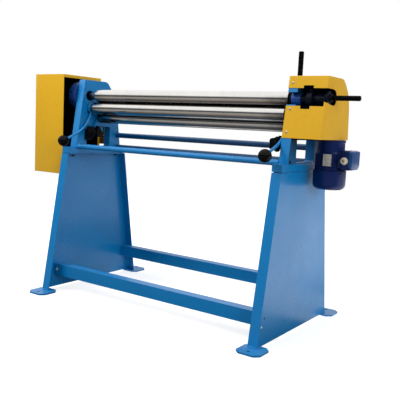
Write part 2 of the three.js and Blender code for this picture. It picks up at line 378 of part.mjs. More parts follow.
// ---------------------------------------------------------------- final drive, worm gearbox and motor
const TEETH_A = 13, TEETH_B = 19;      // module 5, pitch radii 32.5 and 47.5
const lineAngle = Math.atan2(OUTPUT.z - PINCH.z + PINCH_TRAVEL / 2, OUTPUT.y - PINCH.y);
piece(rolls, 'pinch_drive_gear', cut(prismX(gearOutline(TEETH_A, 35.5, 28.3, 3.2, 6.6, PINCH.y, PINCH.z, lineAngle), ...DRIVE_X),
  cylX(13.3, 600, 622, PINCH.y, PINCH.z, 28)), IRON);
const gearB = prismX(gearOutline(TEETH_B, 50, 42.9, 3.2, 6.6, OUTPUT.y, OUTPUT.z, lineAngle + Math.PI + Math.PI / TEETH_B), ...DRIVE_X);
piece(drive, 'output_gear_shaft', join(gearB, cylX(16, 601, 630, OUTPUT.y, OUTPUT.z, 28), cylX(12, 625, 702.5, OUTPUT.y, OUTPUT.z, 28)), IRON);
{
  const { x, y } = MOTOR;
  const plate = box(638, 646, -62, 92, 806, 904);
  const body = box(645, 706.6, -32, 88, 808, 904);
  const flange = cylZ(38, 800, 809, x, y, 32);
  const pillars = [[-50, 815], [79, 818], [79, 893]].map(([py, pz]) => cylX(8, 598, 640, py, pz, 20));
  const wheelRoom = cylX(41, 657.5, 710, OUTPUT.y, OUTPUT.z, 28);
  const wormRoom = cylZ(17.5, 795, 898, x, y, 24);
  const side = box(667.5, 710, 40, y + 12, 826, 886);
  piece(drive, 'gearbox_housing', cut(join(plate, body, flange, ...pillars), wheelRoom, wormRoom, side, cylX(12.4, 630, 660, OUTPUT.y, OUTPUT.z, 28)), NAVY);
  piece(drive, 'gearbox_side_cover', join(box(706.9, 711.9, -32, 88, 810, 904), cylX(24, 711, 716, OUTPUT.y, OUTPUT.z, 28)), NAVY);
  const wheelTeeth = 20, out = [];
  for (let i = 0; i < wheelTeeth; i++) {
    const a = (i / wheelTeeth) * 2 * Math.PI;
    for (const [da, r] of [[-0.34, 34], [-0.2, 36], [0.2, 36], [0.34, 34]]) { const t = a + da * 2 * Math.PI / wheelTeeth; out.push([OUTPUT.y + r * Math.cos(t), OUTPUT.z + r * Math.sin(t)]); }
  }
  piece(drive, 'worm_wheel', cut(prismX(out, 669.5, 690.5), cylX(12.3, 660, 700, OUTPUT.y, OUTPUT.z, 28)), BRONZE);
  const worm = [[788, 0], [788, 15], [826, 15], [830, 10.5]];
  for (let k = 0; k < 3; k++) { const z = 838 + k * 12; worm.push([z, 10.5], [z + 3, 13.7], [z + 7, 13.7], [z + 10, 10.5]); }
  worm.push([884, 8], [897, 8], [897, 0]);
  piece(drive, 'worm_shaft', cut(latheZ(worm, x, y, 14), cylZ(9.9, 780, 812, x, y, 14)), STEEL);

  // motor housing: neck flange, finned body, pads for the terminal box and the plate
  const finned = [];
  const fins = 18;
  for (let i = 0; i < fins; i++) {
    const a = (i / fins) * 2 * Math.PI;
    for (const [da, r] of [[-0.22, 56.5], [-0.17, 61], [0.17, 61], [0.22, 56.5]]) { const t = a + da * 2 * Math.PI / fins; finned.push([x + r * Math.cos(t), y + r * Math.sin(t)]); }
  }
  const plateAz = THREE.MathUtils.degToRad(11);
  const pad = new THREE.BoxGeometry(37, 16, 52);
  pad.translate(0, -54.5, 719.5); pad.rotateZ(plateAz); pad.translate(x, y, 0);
  const shellBody = join(prismZ(finned, 677, 742), cylZ(60, 740, 748, x, y, 32),
    latheZ([[747, 0], [747, 58], [751, 55], [789, 54], [790, 56.5], [799.7, 56.5], [799.7, 0]], x, y, 32),
    box(x + 40, x + 61, y - 38, y + 38, 690, 752), solid(pad));
  piece(drive, 'motor_housing', cut(shellBody, cylZ(42, 670, 738, x, y, 28), cylZ(12, 730, 760, x, y, 16), cylZ(38, 748, 805, x, y, 28)), NAVY);
  piece(drive, 'motor_rotor', latheZ([[641, 0], [641, 9.5], [682, 9.5], [682, 38], [733, 38], [733, 9.5], [811, 9.5], [811, 0]], x, y, 20), STEEL);
  const blades = [];
  for (let i = 0; i < 5; i++) { const b = new THREE.BoxGeometry(34, 3, 16); b.translate(30, 0, 656); b.rotateZ((i / 5) * 2 * Math.PI); b.translate(x, y, 0); blades.push(solid(b)); }
  piece(drive, 'motor_fan', cut(join(cylZ(48, 645, 649, x, y, 28), cylZ(14, 645, 664, x, y, 16), ...blades), cylZ(9.8, 640, 670, x, y, 24)), BLACK);
  const slots = [];
  for (let i = 0; i < 6; i++) { const b = new THREE.BoxGeometry(30, 7, 12); b.translate(32, 0, 604); b.rotateZ(((i + 0.5) / 6) * 2 * Math.PI); b.translate(x, y, 0); slots.push(solid(b)); }
  piece(drive, 'fan_cowl', cut(latheZ([[600, 0], [600, 51], [605, 60.5], [616, 66], [676.7, 66], [676.7, 0]], x, y, 26),
    latheZ([[602, 0], [602, 50], [606.4, 59], [616.5, 64], [690, 64], [690, 0]], x, y, 26), ...slots), NAVY);

  // terminal box, lid, gland and the bare plate
  const bx = x + 61.3, bz = 683;
  const boxBody = cut(box(bx, 772, y - 45, y + 45, bz, bz + 78), box(bx + 3, 775, y - 42, y + 42, bz + 3, bz + 75), cylY(11, y - 50, y - 40, 757, 720, 24));
  piece(drive, 'terminal_box', boxBody, NAVY);
  const lidOutline = (d, xa, xb) => prismX([[y - 45 + d, bz + 16], [y - 29, bz + d], [y + 29, bz + d], [y + 45 - d, bz + 16], [y + 45 - d, bz + 73], [y + 40, bz + 78 - d], [y - 40, bz + 78 - d], [y - 45 + d, bz + 73]], xa, xb);
  const lid = join(lidOutline(0, 772.3, 784), lidOutline(2.5, 783.9, 787));
  piece(drive, 'terminal_box_lid', lid, NAVY);
  const gland = lathe([[0, 0], [0, 15], [3, 15], [3, 14], [10, 14], [15, 10.5], [17, 10.5], [17, 5], [8, 5], [8, 0]], 18, (g) => { g.rotateX(Math.PI); });
  const stem = new THREE.CylinderGeometry(10.5, 10.5, 4.3, 18); stem.translate(0, 1.95, 0);
  const glandMesh = piece(drive, 'cable_gland', join(gland, solid(stem)), LIGHT_GREY);
  glandMesh.position.set(757, y - 45 - GAP, 720);
  const tag = new THREE.BoxGeometry(33, 1.2, 47);
  tag.translate(0, -63.4, 719.5); tag.rotateZ(plateAz); tag.translate(x, y, 0);
  piece(drive, 'motor_plate', solid(tag), ALU);
}

machine.position.set(ORIGIN_SHIFT_X, 0, 0);
machine.updateMatrixWorld(true);
export default machine;
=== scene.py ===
import math
import random

import bmesh
import bpy
from mathutils import Matrix, Vector


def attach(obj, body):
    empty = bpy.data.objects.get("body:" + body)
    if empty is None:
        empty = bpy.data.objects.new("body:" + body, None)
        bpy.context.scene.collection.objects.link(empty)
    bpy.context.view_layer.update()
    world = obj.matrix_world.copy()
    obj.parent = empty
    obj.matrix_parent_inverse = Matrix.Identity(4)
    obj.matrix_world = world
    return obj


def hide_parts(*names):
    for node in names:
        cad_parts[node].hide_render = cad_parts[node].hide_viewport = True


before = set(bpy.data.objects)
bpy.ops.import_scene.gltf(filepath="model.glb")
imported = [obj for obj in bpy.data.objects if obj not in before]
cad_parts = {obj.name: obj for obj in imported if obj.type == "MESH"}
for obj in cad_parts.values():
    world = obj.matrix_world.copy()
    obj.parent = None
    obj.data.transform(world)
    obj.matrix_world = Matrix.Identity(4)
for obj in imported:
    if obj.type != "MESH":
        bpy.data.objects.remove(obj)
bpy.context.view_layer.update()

SHIFT_X = 6.0                       # the machine's drawing origin to the row frame, mm
TAU = math.tau
rnd = random.Random(11)
scene = bpy.context.scene


def V(x, y, z):
    """A point of the drawing, in mm, as metres in the row frame."""
    return Vector(((x + SHIFT_X) * 1e-3, y * 1e-3, z * 1e-3))


# ------------------------------------------------------------------ materials
class Mat:
    def __init__(self, name):
        self.m = bpy.data.materials.new(name)
        self.m.use_nodes = True
        self.t = self.m.node_tree
        self.t.nodes.clear()
        self.out = self.n("ShaderNodeOutputMaterial")
        self.b = self.n("ShaderNodeBsdfPrincipled")
        self.link(self.b.outputs[0], self.out.inputs[0])
        self.obj = self.n("ShaderNodeTexCoord").outputs["Object"]

    def n(self, kind, **kw):
        node = self.t.nodes.new(kind)
        for k, v in kw.items():
            setattr(node, k, v)
        return node

    def link(self, a, b):
        self.t.links.new(a, b)

    def put(self, socket, v):
        if hasattr(v, "links"):
            self.link(v, socket)
        else:
            socket.default_value = v

    def scaled(self, sx, sy, sz, vec=None):
        node = self.n("ShaderNodeVectorMath", operation="MULTIPLY")
        self.link(vec or self.obj, node.inputs[0])
        node.inputs[1].default_value = (sx, sy, sz)
        return node.outputs[0]

    def noise(self, scale, detail=3.0, rough=0.5, vec=None, dist=0.0):
        node = self.n("ShaderNodeTexNoise")
        self.link(vec or self.obj, node.inputs["Vector"])
        node.inputs["Scale"].default_value = scale
        node.inputs["Detail"].default_value = detail
        node.inputs["Roughness"].default_value = rough
        node.inputs["Distortion"].default_value = dist
        return node.outputs["Fac"]

    def math(self, op, a, b=0.0, c=0.0, clamp=False):
        node = self.n("ShaderNodeMath", operation=op, use_clamp=clamp)
        self.put(node.inputs[0], a)
        self.put(node.inputs[1], b)
        self.put(node.inputs[2], c)
        return node.outputs[0]

    def span(self, x, a0, a1, b0=0.0, b1=1.0):
        node = self.n("ShaderNodeMapRange", clamp=True)
        self.put(node.inputs["Value"], x)
        node.inputs["From Min"].default_value = a0
        node.inputs["From Max"].default_value = a1
        node.inputs["To Min"].default_value = b0
        node.inputs["To Max"].default_value = b1
        return node.outputs["Result"]

    def mix(self, fac, a, b, blend="MIX"):
        node = self.n("ShaderNodeMix", data_type="RGBA", blend_type=blend)
        self.put(node.inputs[0], fac)
        for i, v in ((6, a), (7, b)):
            if hasattr(v, "links"):
                self.link(v, node.inputs[i])
            else:
                node.inputs[i].default_value = (*v, 1.0)
        return node.outputs[2]

    def edges(self, radius):
        bev = self.n("ShaderNodeBevel", samples=4)
        bev.inputs["Radius"].default_value = radius
        geo = self.n("ShaderNodeNewGeometry")
        dot = self.n("ShaderNodeVectorMath", operation="DOT_PRODUCT")
        self.link(bev.outputs[0], dot.inputs[0])
        self.link(geo.outputs["Normal"], dot.inputs[1])
        return self.math("SUBTRACT", 1.0, dot.outputs["Value"], clamp=True)

    def up(self):
        geo = self.n("ShaderNodeNewGeometry")
        sep = self.n("ShaderNodeSeparateXYZ")
        self.link(geo.outputs["Normal"], sep.inputs[0])
        return sep.outputs["Z"]

    def open_sky(self, distance):
        """1 where the surface is free all round, near 0 deep in a gap."""
        ao = self.n("ShaderNodeAmbientOcclusion", samples=8)
        ao.inputs["Distance"].default_value = distance
        return ao.outputs["AO"]

    def xyz(self):
        sep = self.n("ShaderNodeSeparateXYZ")
        self.link(self.obj, sep.inputs[0])
        return sep.outputs

    def bump(self, height, strength, distance, normal=None):
        node = self.n("ShaderNodeBump")
        node.inputs["Strength"].default_value = strength
        node.inputs["Distance"].default_value = distance
        self.link(height, node.inputs["Height"])
        if normal is not None:
            self.link(normal, node.inputs["Normal"])
        return node.outputs[0]

    def finish(self, color, rough, normal=None, **values):
        self.put(self.b.inputs["Base Color"], color)
        self.put(self.b.inputs["Roughness"], rough)
        if normal is not None:
            self.link(normal, self.b.inputs["Normal"])
        for k, v in values.items():
            self.b.inputs[k.replace("_", " ")].default_value = v
        return self.m


def scale_rgb(c, k):
    return tuple(min(1.0, v * k) for v in c)


def enamel(name, col, rough=0.30, coat=0.15, var=0.08, wear=0.22, dust=0.08, worn=(0.50, 0.56, 0.62), shade=None, spec=0.5, shaded=None):
    """Stoved enamel on steel: faint orange peel, cloudy tone, dust on top faces, rubbed edges and small chips; where a
    shade mask is given, painted shade is mixed into the colour.
    """
    m = Mat(name)
    cloud = m.noise(3.1, 4.0, 0.55)
    fine = m.noise(42.0, 5.0, 0.6)
    tone = m.math("ADD", m.span(cloud, 0.25, 0.75, 1.0 - var, 1.0 + var), m.span(fine, 0.3, 0.7, -0.022, 0.022))
    grey = m.n("ShaderNodeCombineColor")
    for i in range(3):
        m.link(tone, grey.inputs[i])
    base = m.mix(1.0, col, grey.outputs[0], "MULTIPLY")
    settled = m.math("MULTIPLY", m.span(m.up(), 0.45, 0.98), m.span(m.noise(17.0, 5.0, 0.62), 0.32, 0.72))
    base = m.mix(m.math("MULTIPLY", settled, dust), base, (0.55, 0.56, 0.56))
    edge = m.edges(0.0016)
    rub = m.math("MULTIPLY", m.span(edge, 0.03, 0.22), m.span(m.noise(34.0, 6.0, 0.7), 0.47, 0.66))
    base = m.mix(m.math("MULTIPLY", rub, wear), base, worn)
    chips = m.math("MULTIPLY", m.span(m.noise(190.0, 2.0, 0.5), 0.72, 0.76), m.span(m.edges(0.006), 0.004, 0.03))
    base = m.mix(m.math("MULTIPLY", chips, 0.5), base, scale_rgb(worn, 0.35))
    # painted shade: where a mask is given, the colour goes toward a dark copy
    if shade is not None:
        base = m.mix(shade(m), base, shaded or scale_rgb(col, 0.10))
    r = m.math("ADD", m.span(m.noise(9.0, 4.0, 0.6), 0.3, 0.7, rough - 0.05, rough + 0.06), m.math("MULTIPLY", settled, 0.12))
    r = m.math("ADD", r, m.math("MULTIPLY", rub, 0.1), clamp=True)
    if shade is not None:
        r = m.math("ADD", r, m.math("MULTIPLY", shade(m), 0.4), clamp=True)
    peel = m.bump(m.noise(520.0, 2.0, 0.5), 0.16, 0.0004)
    peel = m.bump(m.noise(26.0, 2.0, 0.5), 0.10, 0.0012, peel)
    return m.finish(base, r, peel, Coat_Weight=coat, Coat_Roughness=0.12, Specular_IOR_Level=spec)


def ground_steel(name, col=(0.66, 0.65, 0.63), rough=0.115, streak=0.7, sky=(0.48, 0.74), under=False):
    """Ground and lightly oiled roll: fine turning lines round it, rub marks along it, faint stains; painted shade
    where it comes close to another roll and near its ends, and a painted warm reflection tint on its lower side.
    """
    m = Mat(name)
    rings = m.noise(1.0, 4.0, 0.7, m.scaled(2600.0, 14.0, 14.0))
    rubs = m.noise(1.0, 5.0, 0.65, m.scaled(2.2, 260.0, 260.0))
    stain = m.noise(7.0, 6.0, 0.62, dist=0.6)
    spots = m.span(m.noise(85.0, 3.0, 0.6), 0.66, 0.72)
    k = m.math("ADD", m.span(rings, 0.3, 0.7, 0.93, 1.04), m.span(rubs, 0.3, 0.7, -0.07 * streak, 0.05 * streak))
    k = m.math("ADD", k, m.span(stain, 0.35, 0.75, 0.02, -0.10))
    grey = m.n("ShaderNodeCombineColor")
    for i in range(3):
        m.link(k, grey.inputs[i])
    base = m.mix(1.0, col, grey.outputs[0], "MULTIPLY")
    base = m.mix(m.math("MULTIPLY", spots, 0.22), base, (0.20, 0.16, 0.12))
    # painted shade: darker where ambient occlusion finds another roll close by, in the nip; with under, a band on the
    # underside is left unshaded
    gap = m.span(m.open_sky(0.05), sky[0], sky[1], 0.02, 1.0)
    if under:
        gap = m.math("MAXIMUM", gap, m.math("MULTIPLY", m.span(m.up(), -0.68, -0.76), m.span(m.up(), -0.92, -0.87)))
    side = m.math("ABSOLUTE", m.xyz()[0])
    # painted shade near both roll ends, mostly on the lower side
    painted_end_shade = m.math("MULTIPLY", m.span(side, 0.43, 0.53), m.span(m.noise(26.0, 4.0, 0.6), 0.30, 0.62, 0.35, 0.85))
    painted_end_shade = m.math("MULTIPLY", painted_end_shade, m.span(m.up(), 0.45, -0.1))
    gap = m.math("MULTIPLY", gap, m.math("SUBTRACT", 1.0, painted_end_shade))
    dim = m.n("ShaderNodeCombineColor")
    for i in range(3):
        m.link(gap, dim.inputs[i])
    base = m.mix(1.0, base, dim.outputs[0], "MULTIPLY")
    # painted reflection: the lower side, above its lowest band, is tinted warm, more so lower down
    lowest = m.span(m.up(), -0.76, -0.68)
    base = m.mix(m.math("MULTIPLY", lowest, m.span(m.up(), 0.0, -0.30)), base, m.mix(1.0, base, (1.0, 0.94, 0.87), "MULTIPLY"))
    base = m.mix(m.math("MULTIPLY", lowest, m.span(m.up(), -0.30, -0.50)), base, m.mix(1.0, base, (1.0, 0.78, 0.64), "MULTIPLY"))
    r = m.math("ADD", m.span(rings, 0.3, 0.7, rough - 0.02, rough + 0.03), m.span(stain, 0.35, 0.75, 0.0, 0.04))
    r = m.math("ADD", r, m.span(rubs, 0.35, 0.75, 0.0, 0.03))
    nrm = m.bump(rings, 0.06, 0.0001)
    return m.finish(base, r, nrm, Metallic=1.0)


def metal(name, col, rough=0.4, grain=240.0, var=0.16, bump=0.25, metallic=1.0, oil=0.0, spec=0.5):
    m = Mat(name)
    a = m.noise(grain, 4.0, 0.65)
    b = m.noise(19.0, 4.0, 0.6)
    k = m.math("ADD", m.span(a, 0.3, 0.7, 1.0 - var, 1.0 + var), m.span(b, 0.3, 0.7, -0.12, 0.10))
    grey = m.n("ShaderNodeCombineColor")
    for i in range(3):
        m.link(k, grey.inputs[i])
    base = m.mix(1.0, col, grey.outputs[0], "MULTIPLY")
    base = m.mix(m.math("MULTIPLY", m.span(m.edges(0.0009), 0.03, 0.25), 0.35), base, scale_rgb(col, 2.4))
    r = m.math("ADD", m.span(b, 0.3, 0.7, rough - 0.08, rough + 0.10), 0.0, clamp=True)
    nrm = m.bump(a, bump, 0.0003)
    return m.finish(base, r, nrm, Metallic=metallic, Coat_Weight=oil, Coat_Roughness=0.15, Specular_IOR_Level=spec)


def plastic(name, col, rough=0.4, peel=0.2, grain=700.0, coat=0.0, spec=0.5, worn=(0.10, 0.10, 0.11)):
    m = Mat(name)
    g = m.noise(grain, 2.0, 0.5)
    b = m.noise(23.0, 4.0, 0.6)
    k = m.span(b, 0.3, 0.7, 0.86, 1.16)
    grey = m.n("ShaderNodeCombineColor")
    for i in range(3):
        m.link(k, grey.inputs[i])
    base = m.mix(1.0, col, grey.outputs[0], "MULTIPLY")
    base = m.mix(m.math("MULTIPLY", m.span(m.edges(0.0011), 0.03, 0.25), 0.16), base, worn)
    scuff = m.span(m.noise(1.0, 3.0, 0.6, m.scaled(300.0, 26.0, 90.0)), 0.68, 0.76)
    r = m.math("ADD", m.span(b, 0.3, 0.7, rough - 0.05, rough + 0.07), m.math("MULTIPLY", scuff, 0.14), clamp=True)
    nrm = m.bump(g, peel, 0.00015)
    return m.finish(base, r, nrm, Coat_Weight=coat, Coat_Roughness=0.06, Specular_IOR_Level=spec)


SKY = (0.002, 0.186, 0.480)
M_BLUE = enamel("sky_blue_enamel_v", SKY)


# Painted shade on the right frame's outer face: half dark low down, near black under the drive cover and at its rear
# beside the motor.
def painted_shade_under_cover(m):
    x, y, z = m.xyz()
    return m.math("MULTIPLY", m.span(x, 0.6030, 0.6036), m.math("MAXIMUM", m.span(z, 0.700, 0.800, 0.55, 0.97), m.span(y, 0.085, 0.110)))


# the right frame's blue enamel, with the painted shade above
M_BLUE_R = enamel("sky_blue_enamel_shaded", SKY, shade=painted_shade_under_cover)
M_ROYAL = enamel("royal_blue_enamel", (0.003, 0.050, 0.235), wear=0.3)
M_DISC = enamel("housing_enamel", (0.004, 0.030, 0.150), wear=0.3)
M_NAVY = enamel("navy_enamel_v", (0.0015, 0.0130, 0.098), rough=0.32, coat=0.10, var=0.14, wear=0.22, dust=0.04, worn=(0.10, 0.13, 0.26), spec=0.28)
M_NAVY_LID = enamel("navy_enamel_lid", (0.006, 0.060, 0.215), rough=0.28, coat=0.15, var=0.10, wear=0.35, dust=0.05, worn=(0.24, 0.26, 0.38), spec=0.4)
M_YELLOW = enamel("yellow_enamel_v", (0.700, 0.392, 0.016), rough=0.36, coat=0.10, var=0.045, wear=0.45, dust=0.07, worn=(0.78, 0.62, 0.30), spec=0.30)
# painted shade: the insides of the covers are painted near black
M_INSIDE_SHADE = enamel("cover_inside_painted_shade", (0.0025, 0.0025, 0.003), rough=0.7, coat=0.0, var=0.2, wear=0.0, dust=0.02, spec=0.1)
# the three roll finishes differ only in their painted nip shade
M_ROLL = ground_steel("ground_steel_v")
M_ROLL_PINCH = ground_steel("ground_steel_pinch", under=True)
M_ROLL_REAR = ground_steel("ground_steel_rear", sky=(0.47, 0.68))
M_JOURNAL = ground_steel("turned_steel", (0.46, 0.46, 0.47), rough=0.27, streak=0.4)
M_IRON = metal("dark_iron_v", (0.016, 0.016, 0.018), rough=0.46, oil=0.05)
M_BRONZE = metal("bronze_v", (0.46, 0.27, 0.08), rough=0.32)
# painted shade: a darker copy of the sky blue for the rear tie rods, which stand in shadow
M_BLUE_REAR_SHADE = enamel("sky_blue_enamel_rear_painted_shade", (0.001, 0.075, 0.215))
M_BLACK = metal("black_steel_v", (0.0020, 0.0019, 0.0022), rough=0.42, grain=320.0, bump=0.15, metallic=0.0, oil=0.0, spec=0.045)
M_YOKE = metal("yoke_steel", (0.0018, 0.0028, 0.009), rough=0.34, grain=280.0, bump=0.12, metallic=0.0, oil=0.0, spec=0.16)
M_PLASTIC = plastic("black_plastic_v", (0.0024, 0.0023, 0.0026), rough=0.44, spec=0.06)
M_GLOSS = plastic("gloss_black_plastic_v", (0.0024, 0.0022, 0.0024), rough=0.13, peel=0.03, coat=0.0, spec=0.11)
M_ZINC = metal("zinc_screw_v", (0.66, 0.655, 0.63), rough=0.30, grain=500.0, var=0.08, bump=0.08)
M_OXIDE = metal("oxide_screw", (0.020, 0.020, 0.022), rough=0.42, grain=500.0, var=0.1, bump=0.1)
M_GREY = plastic("grey_plastic_v", (0.58, 0.54, 0.42), rough=0.42, peel=0.12, worn=(0.30, 0.27, 0.20))
M_HOLE = plastic("dark_recess", (0.004, 0.004, 0.004), rough=0.8, spec=0.1)
# painted shade: faces turned to the front get a shaded brown
def painted_shade_front_faces(m):
    geo, sep = m.n("ShaderNodeNewGeometry"), m.n("ShaderNodeSeparateXYZ")
    m.link(geo.outputs["Normal"], sep.inputs[0])
    return m.span(sep.outputs["Y"], -0.5, -0.8)


# gear cover bracket in yellow enamel, with painted shaded brown on its front faces
M_BRACKET = enamel("yellow_enamel_bracket", (0.700, 0.392, 0.016), rough=0.40, coat=0.05, var=0.06, wear=0.3, dust=0.07, worn=(0.78, 0.62, 0.30), spec=0.25, shade=painted_shade_front_faces, shaded=(0.190, 0.072, 0.026))
# painted shade: a dark brown for the gear cover's rear rim, which stands in shadow
M_RIM_SHADE = enamel("gear_cover_rim_painted_shade", (0.190, 0.070, 0.024), rough=0.5, coat=0.0, wear=0.2, dust=0.03, spec=0.15)


def plate_metal():
    m = Mat("aluminium_plate_v")
    brushed = m.noise(1.0, 4.0, 0.65, m.scaled(90.0, 90.0, 3200.0))
    blot = m.noise(120.0, 4.0, 0.7, dist=0.8)
    k = m.math("ADD", m.span(brushed, 0.3, 0.7, 0.90, 1.06), m.span(blot, 0.35, 0.65, 0.10, -0.42))
    grey = m.n("ShaderNodeCombineColor")
    for i in range(3):
        m.link(k, grey.inputs[i])
    base = m.mix(1.0, (0.60, 0.56, 0.47), grey.outputs[0], "MULTIPLY")
    r = m.span(blot, 0.3, 0.7, 0.34, 0.52)
    return m.finish(base, r, m.bump(brushed, 0.12, 0.0001), Metallic=0.35)


M_PLATE = plate_metal()


# ------------------------------------------------------------------ mesh helpers
def tidy(bm, doubles=True):
    if doubles:
        bmesh.ops.remove_doubles(bm, verts=bm.verts, dist=1e-7)
    bmesh.ops.recalc_face_normals(bm, faces=bm.faces)


def place(name, bm, mats, body, node=(), angle=32.0, fresh=True):
    if fresh:
        tidy(bm)
    me = bpy.data.meshes.new(name)
    bm.to_mesh(me)
    bm.free()
    for m in (mats if isinstance(mats, (list, tuple)) else [mats]):
        me.materials.append(m)
    me.shade_smooth()
    me.set_sharp_from_angle(angle=math.radians(angle))
    ob = bpy.data.objects.new(name, me)
    scene.collection.objects.link(ob)
    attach(ob, body)
    if node:
        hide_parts(*([node] if isinstance(node, str) else node))
    return ob


def axes_of(d):
    d = Vector(d).normalized()
    ref = Vector((0, 0, 1)) if abs(d.z) < 0.9 else Vector((1, 0, 0))
    u = d.cross(ref).normalized()
    return d, u, d.cross(u).normalized()


def ring_radius(entry, t):
    r = entry[1]
    if len(entry) < 3:
        return r
    f = entry[2]
    if callable(f):
        return f(r, t)
    step = TAU / f
    return r / math.cos((t % step) - step / 2)


def lathe(bm, origin, d, prof, seg=64, closed=False, mat=0, turn=0.0):
    """Revolves [(along, radius[, sides or function])], in mm, round direction d through origin."""
    d, u, w = axes_of(d)
    rings = []
    for e in prof:
        if e[1] <= 1e-6:
            rings.append([bm.verts.new(origin + d * (e[0] * 1e-3))])
            continue
        ring = []
        for i in range(seg):
            t = i / seg * TAU
            r = ring_radius(e, t) * 1e-3
            ring.append(bm.verts.new(origin + d * (e[0] * 1e-3) + (u * math.cos(t + turn) + w * math.sin(t + turn)) * r))
        rings.append(ring)
    pairs = list(zip(rings, rings[1:])) + ([(rings[-1], rings[0])] if closed else [])
    for a, b in pairs:
        for i in range(seg):
            j = (i + 1) % seg
            if len(a) == 1 and len(b) == 1:
                continue
            if len(a) == 1:
                f = (a[0], b[i], b[j])
            elif len(b) == 1:
                f = (a[i], a[j], b[0])
            else:
                f = (a[i], a[j], b[j], b[i])
            try:
                bm.faces.new(f).material_index = mat
            except ValueError:
                pass
    return bm


def fillet(prof, r=0.8, n=3, closed=False):
    """Rounds the corners of a profile of (along, radius) pairs; a polygon entry keeps its corner."""
    out = []
    count = len(prof)
    for i, e in enumerate(prof):
        if (not closed and i in (0, count - 1)) or len(e) > 2 or e[1] <= 1e-6:
            out.append(e)
            continue
        p, a, b = Vector(e[:2]), Vector(prof[i - 1][:2]), Vector(prof[(i + 1) % count][:2])
        da, db = a - p, b - p
        if da.length < 1e-6 or db.length < 1e-6:
            out.append(e)
            continue
        ang = da.angle(db)
        if ang > math.radians(160):
            out.append(e)
            continue
        cut = min(r / math.tan(ang / 2), da.length * 0.45, db.length * 0.45)
        p0, p1 = p + da.normalized() * cut, p + db.normalized() * cut
        for k in range(n + 1):
            s = k / n
            q = p0 * (1 - s) ** 2 + p * 2 * s * (1 - s) + p1 * s ** 2
            out.append((q.x, max(q.y, 0.0)))
    return out


def prism(bm, pts, to3, a0, a1, mat=0):
    """Extrudes an outline of 2-D points from a0 to a1; to3(p, a) gives the point in space."""
    lo = [bm.verts.new(to3(p, a0)) for p in pts]
    hi = [bm.verts.new(to3(p, a1)) for p in pts]
    n = len(pts)
    made = [bm.faces.new(lo), bm.faces.new(list(reversed(hi)))]
    for i in range(n):
        j = (i + 1) % n
        made.append(bm.faces.new((lo[j], lo[i], hi[i], hi[j])))
    for f in made:
        f.material_index = mat
    return made


def round_edges(bm, width, segments=3, angle=30.0, keep=None):
    bmesh.ops.recalc_face_normals(bm, faces=bm.faces)
    bm.normal_update()
    lim = math.radians(angle)
    edges = [e for e in bm.edges if len(e.link_faces) == 2 and e.calc_face_angle(0.0) > lim and (keep is None or keep(e))]
    if edges:
        bmesh.ops.bevel(bm, geom=edges, offset=width * 1e-3, offset_type="OFFSET", segments=segments, profile=0.5,
                        affect="EDGES", clamp_overlap=True)
    return bm


def block(bm, size, matrix, width=1.0, segments=3, mat=0):
    """A rounded block of size in mm, placed by matrix; its long edges carry the same small radius."""
    part = bmesh.new()
    bmesh.ops.create_cube(part, size=1.0)
    bmesh.ops.scale(part, vec=Vector(size) * 1e-3, verts=part.verts)
    round_edges(part, width, segments)
    bmesh.ops.transform(part, matrix=matrix, verts=part.verts)
    for f in part.faces:
        f.material_index = mat
    me = bpy.data.meshes.new("tmp_block")
    part.to_mesh(me)
    part.free()
    bm.from_mesh(me)
    bpy.data.meshes.remove(me)
    return bm


def span_block(bm, x0, x1, y0, y1, z0, z1, width=1.0, segments=3, mat=0):
    c = (V(x0, y0, z0) + V(x1, y1, z1)) / 2
    return block(bm, (abs(x1 - x0), abs(y1 - y0), abs(z1 - z0)), Matrix.Translation(c), width, segments, mat)


def tube(bm, pts, radius, seg=24, mat=0, cap=True):
    """Sweeps a round section along pts; radius is a number or a function of the part of the way."""
    n = len(pts)
    tang = []
    for i in range(n):
        a, b = pts[max(i - 1, 0)], pts[min(i + 1, n - 1)]
        tang.append((b - a).normalized())
    _, u, w = axes_of(tang[0])
    rings = []
    for i in range(n):
        if i:
            q = tang[i - 1].rotation_difference(tang[i])
            u, w = q @ u, q @ w
        r = (radius(i / (n - 1)) if callable(radius) else radius) * 1e-3
        rings.append([bm.verts.new(pts[i] + (u * math.cos(k / seg * TAU) + w * math.sin(k / seg * TAU)) * r) for k in range(seg)])
    for a, b in zip(rings, rings[1:]):
        for k in range(seg):
            j = (k + 1) % seg
            bm.faces.new((a[k], a[j], b[j], b[k])).material_index = mat
    if cap:
        bm.faces.new(list(reversed(rings[0]))).material_index = mat
        bm.faces.new(rings[-1]).material_index = mat
    return bm


def catmull(pts, per=10):
    out = []
    p = [pts[0] * 2 - pts[1]] + list(pts) + [pts[-1] * 2 - pts[-2]]
    for i in range(1, len(p) - 2):
        a, b, c, d = p[i - 1], p[i], p[i + 1], p[i + 2]
        for k in range(per):
            t = k / per
            out.append(0.5 * ((2 * b) + (c - a) * t + (2 * a - 5 * b + 4 * c - d) * t * t + (3 * b - a - 3 * c + d) * t ** 3))
    out.append(p[-2].copy())
    return out


def hex_bolt(bm, origin, d, flats=13.0, head=5.5, washer=None, mat=0, turn=0.2):
    w = washer or flats * 0.82
    prof = [(0.0, 0.0), (0.0, w - 0.3), (0.3, w), (1.3, w), (1.6, w - 0.3), (1.6, flats / 2, 6), (1.6 + head - 1.0, flats / 2, 6),
            (1.6 + head, flats / 2 * 0.93), (1.6 + head, flats / 2 * 0.55), (1.6 + head - 0.3, flats / 2 * 0.5), (1.6 + head - 0.3, 0.0)]
    return lathe(bm, origin, d, prof, 48, mat=mat, turn=turn)


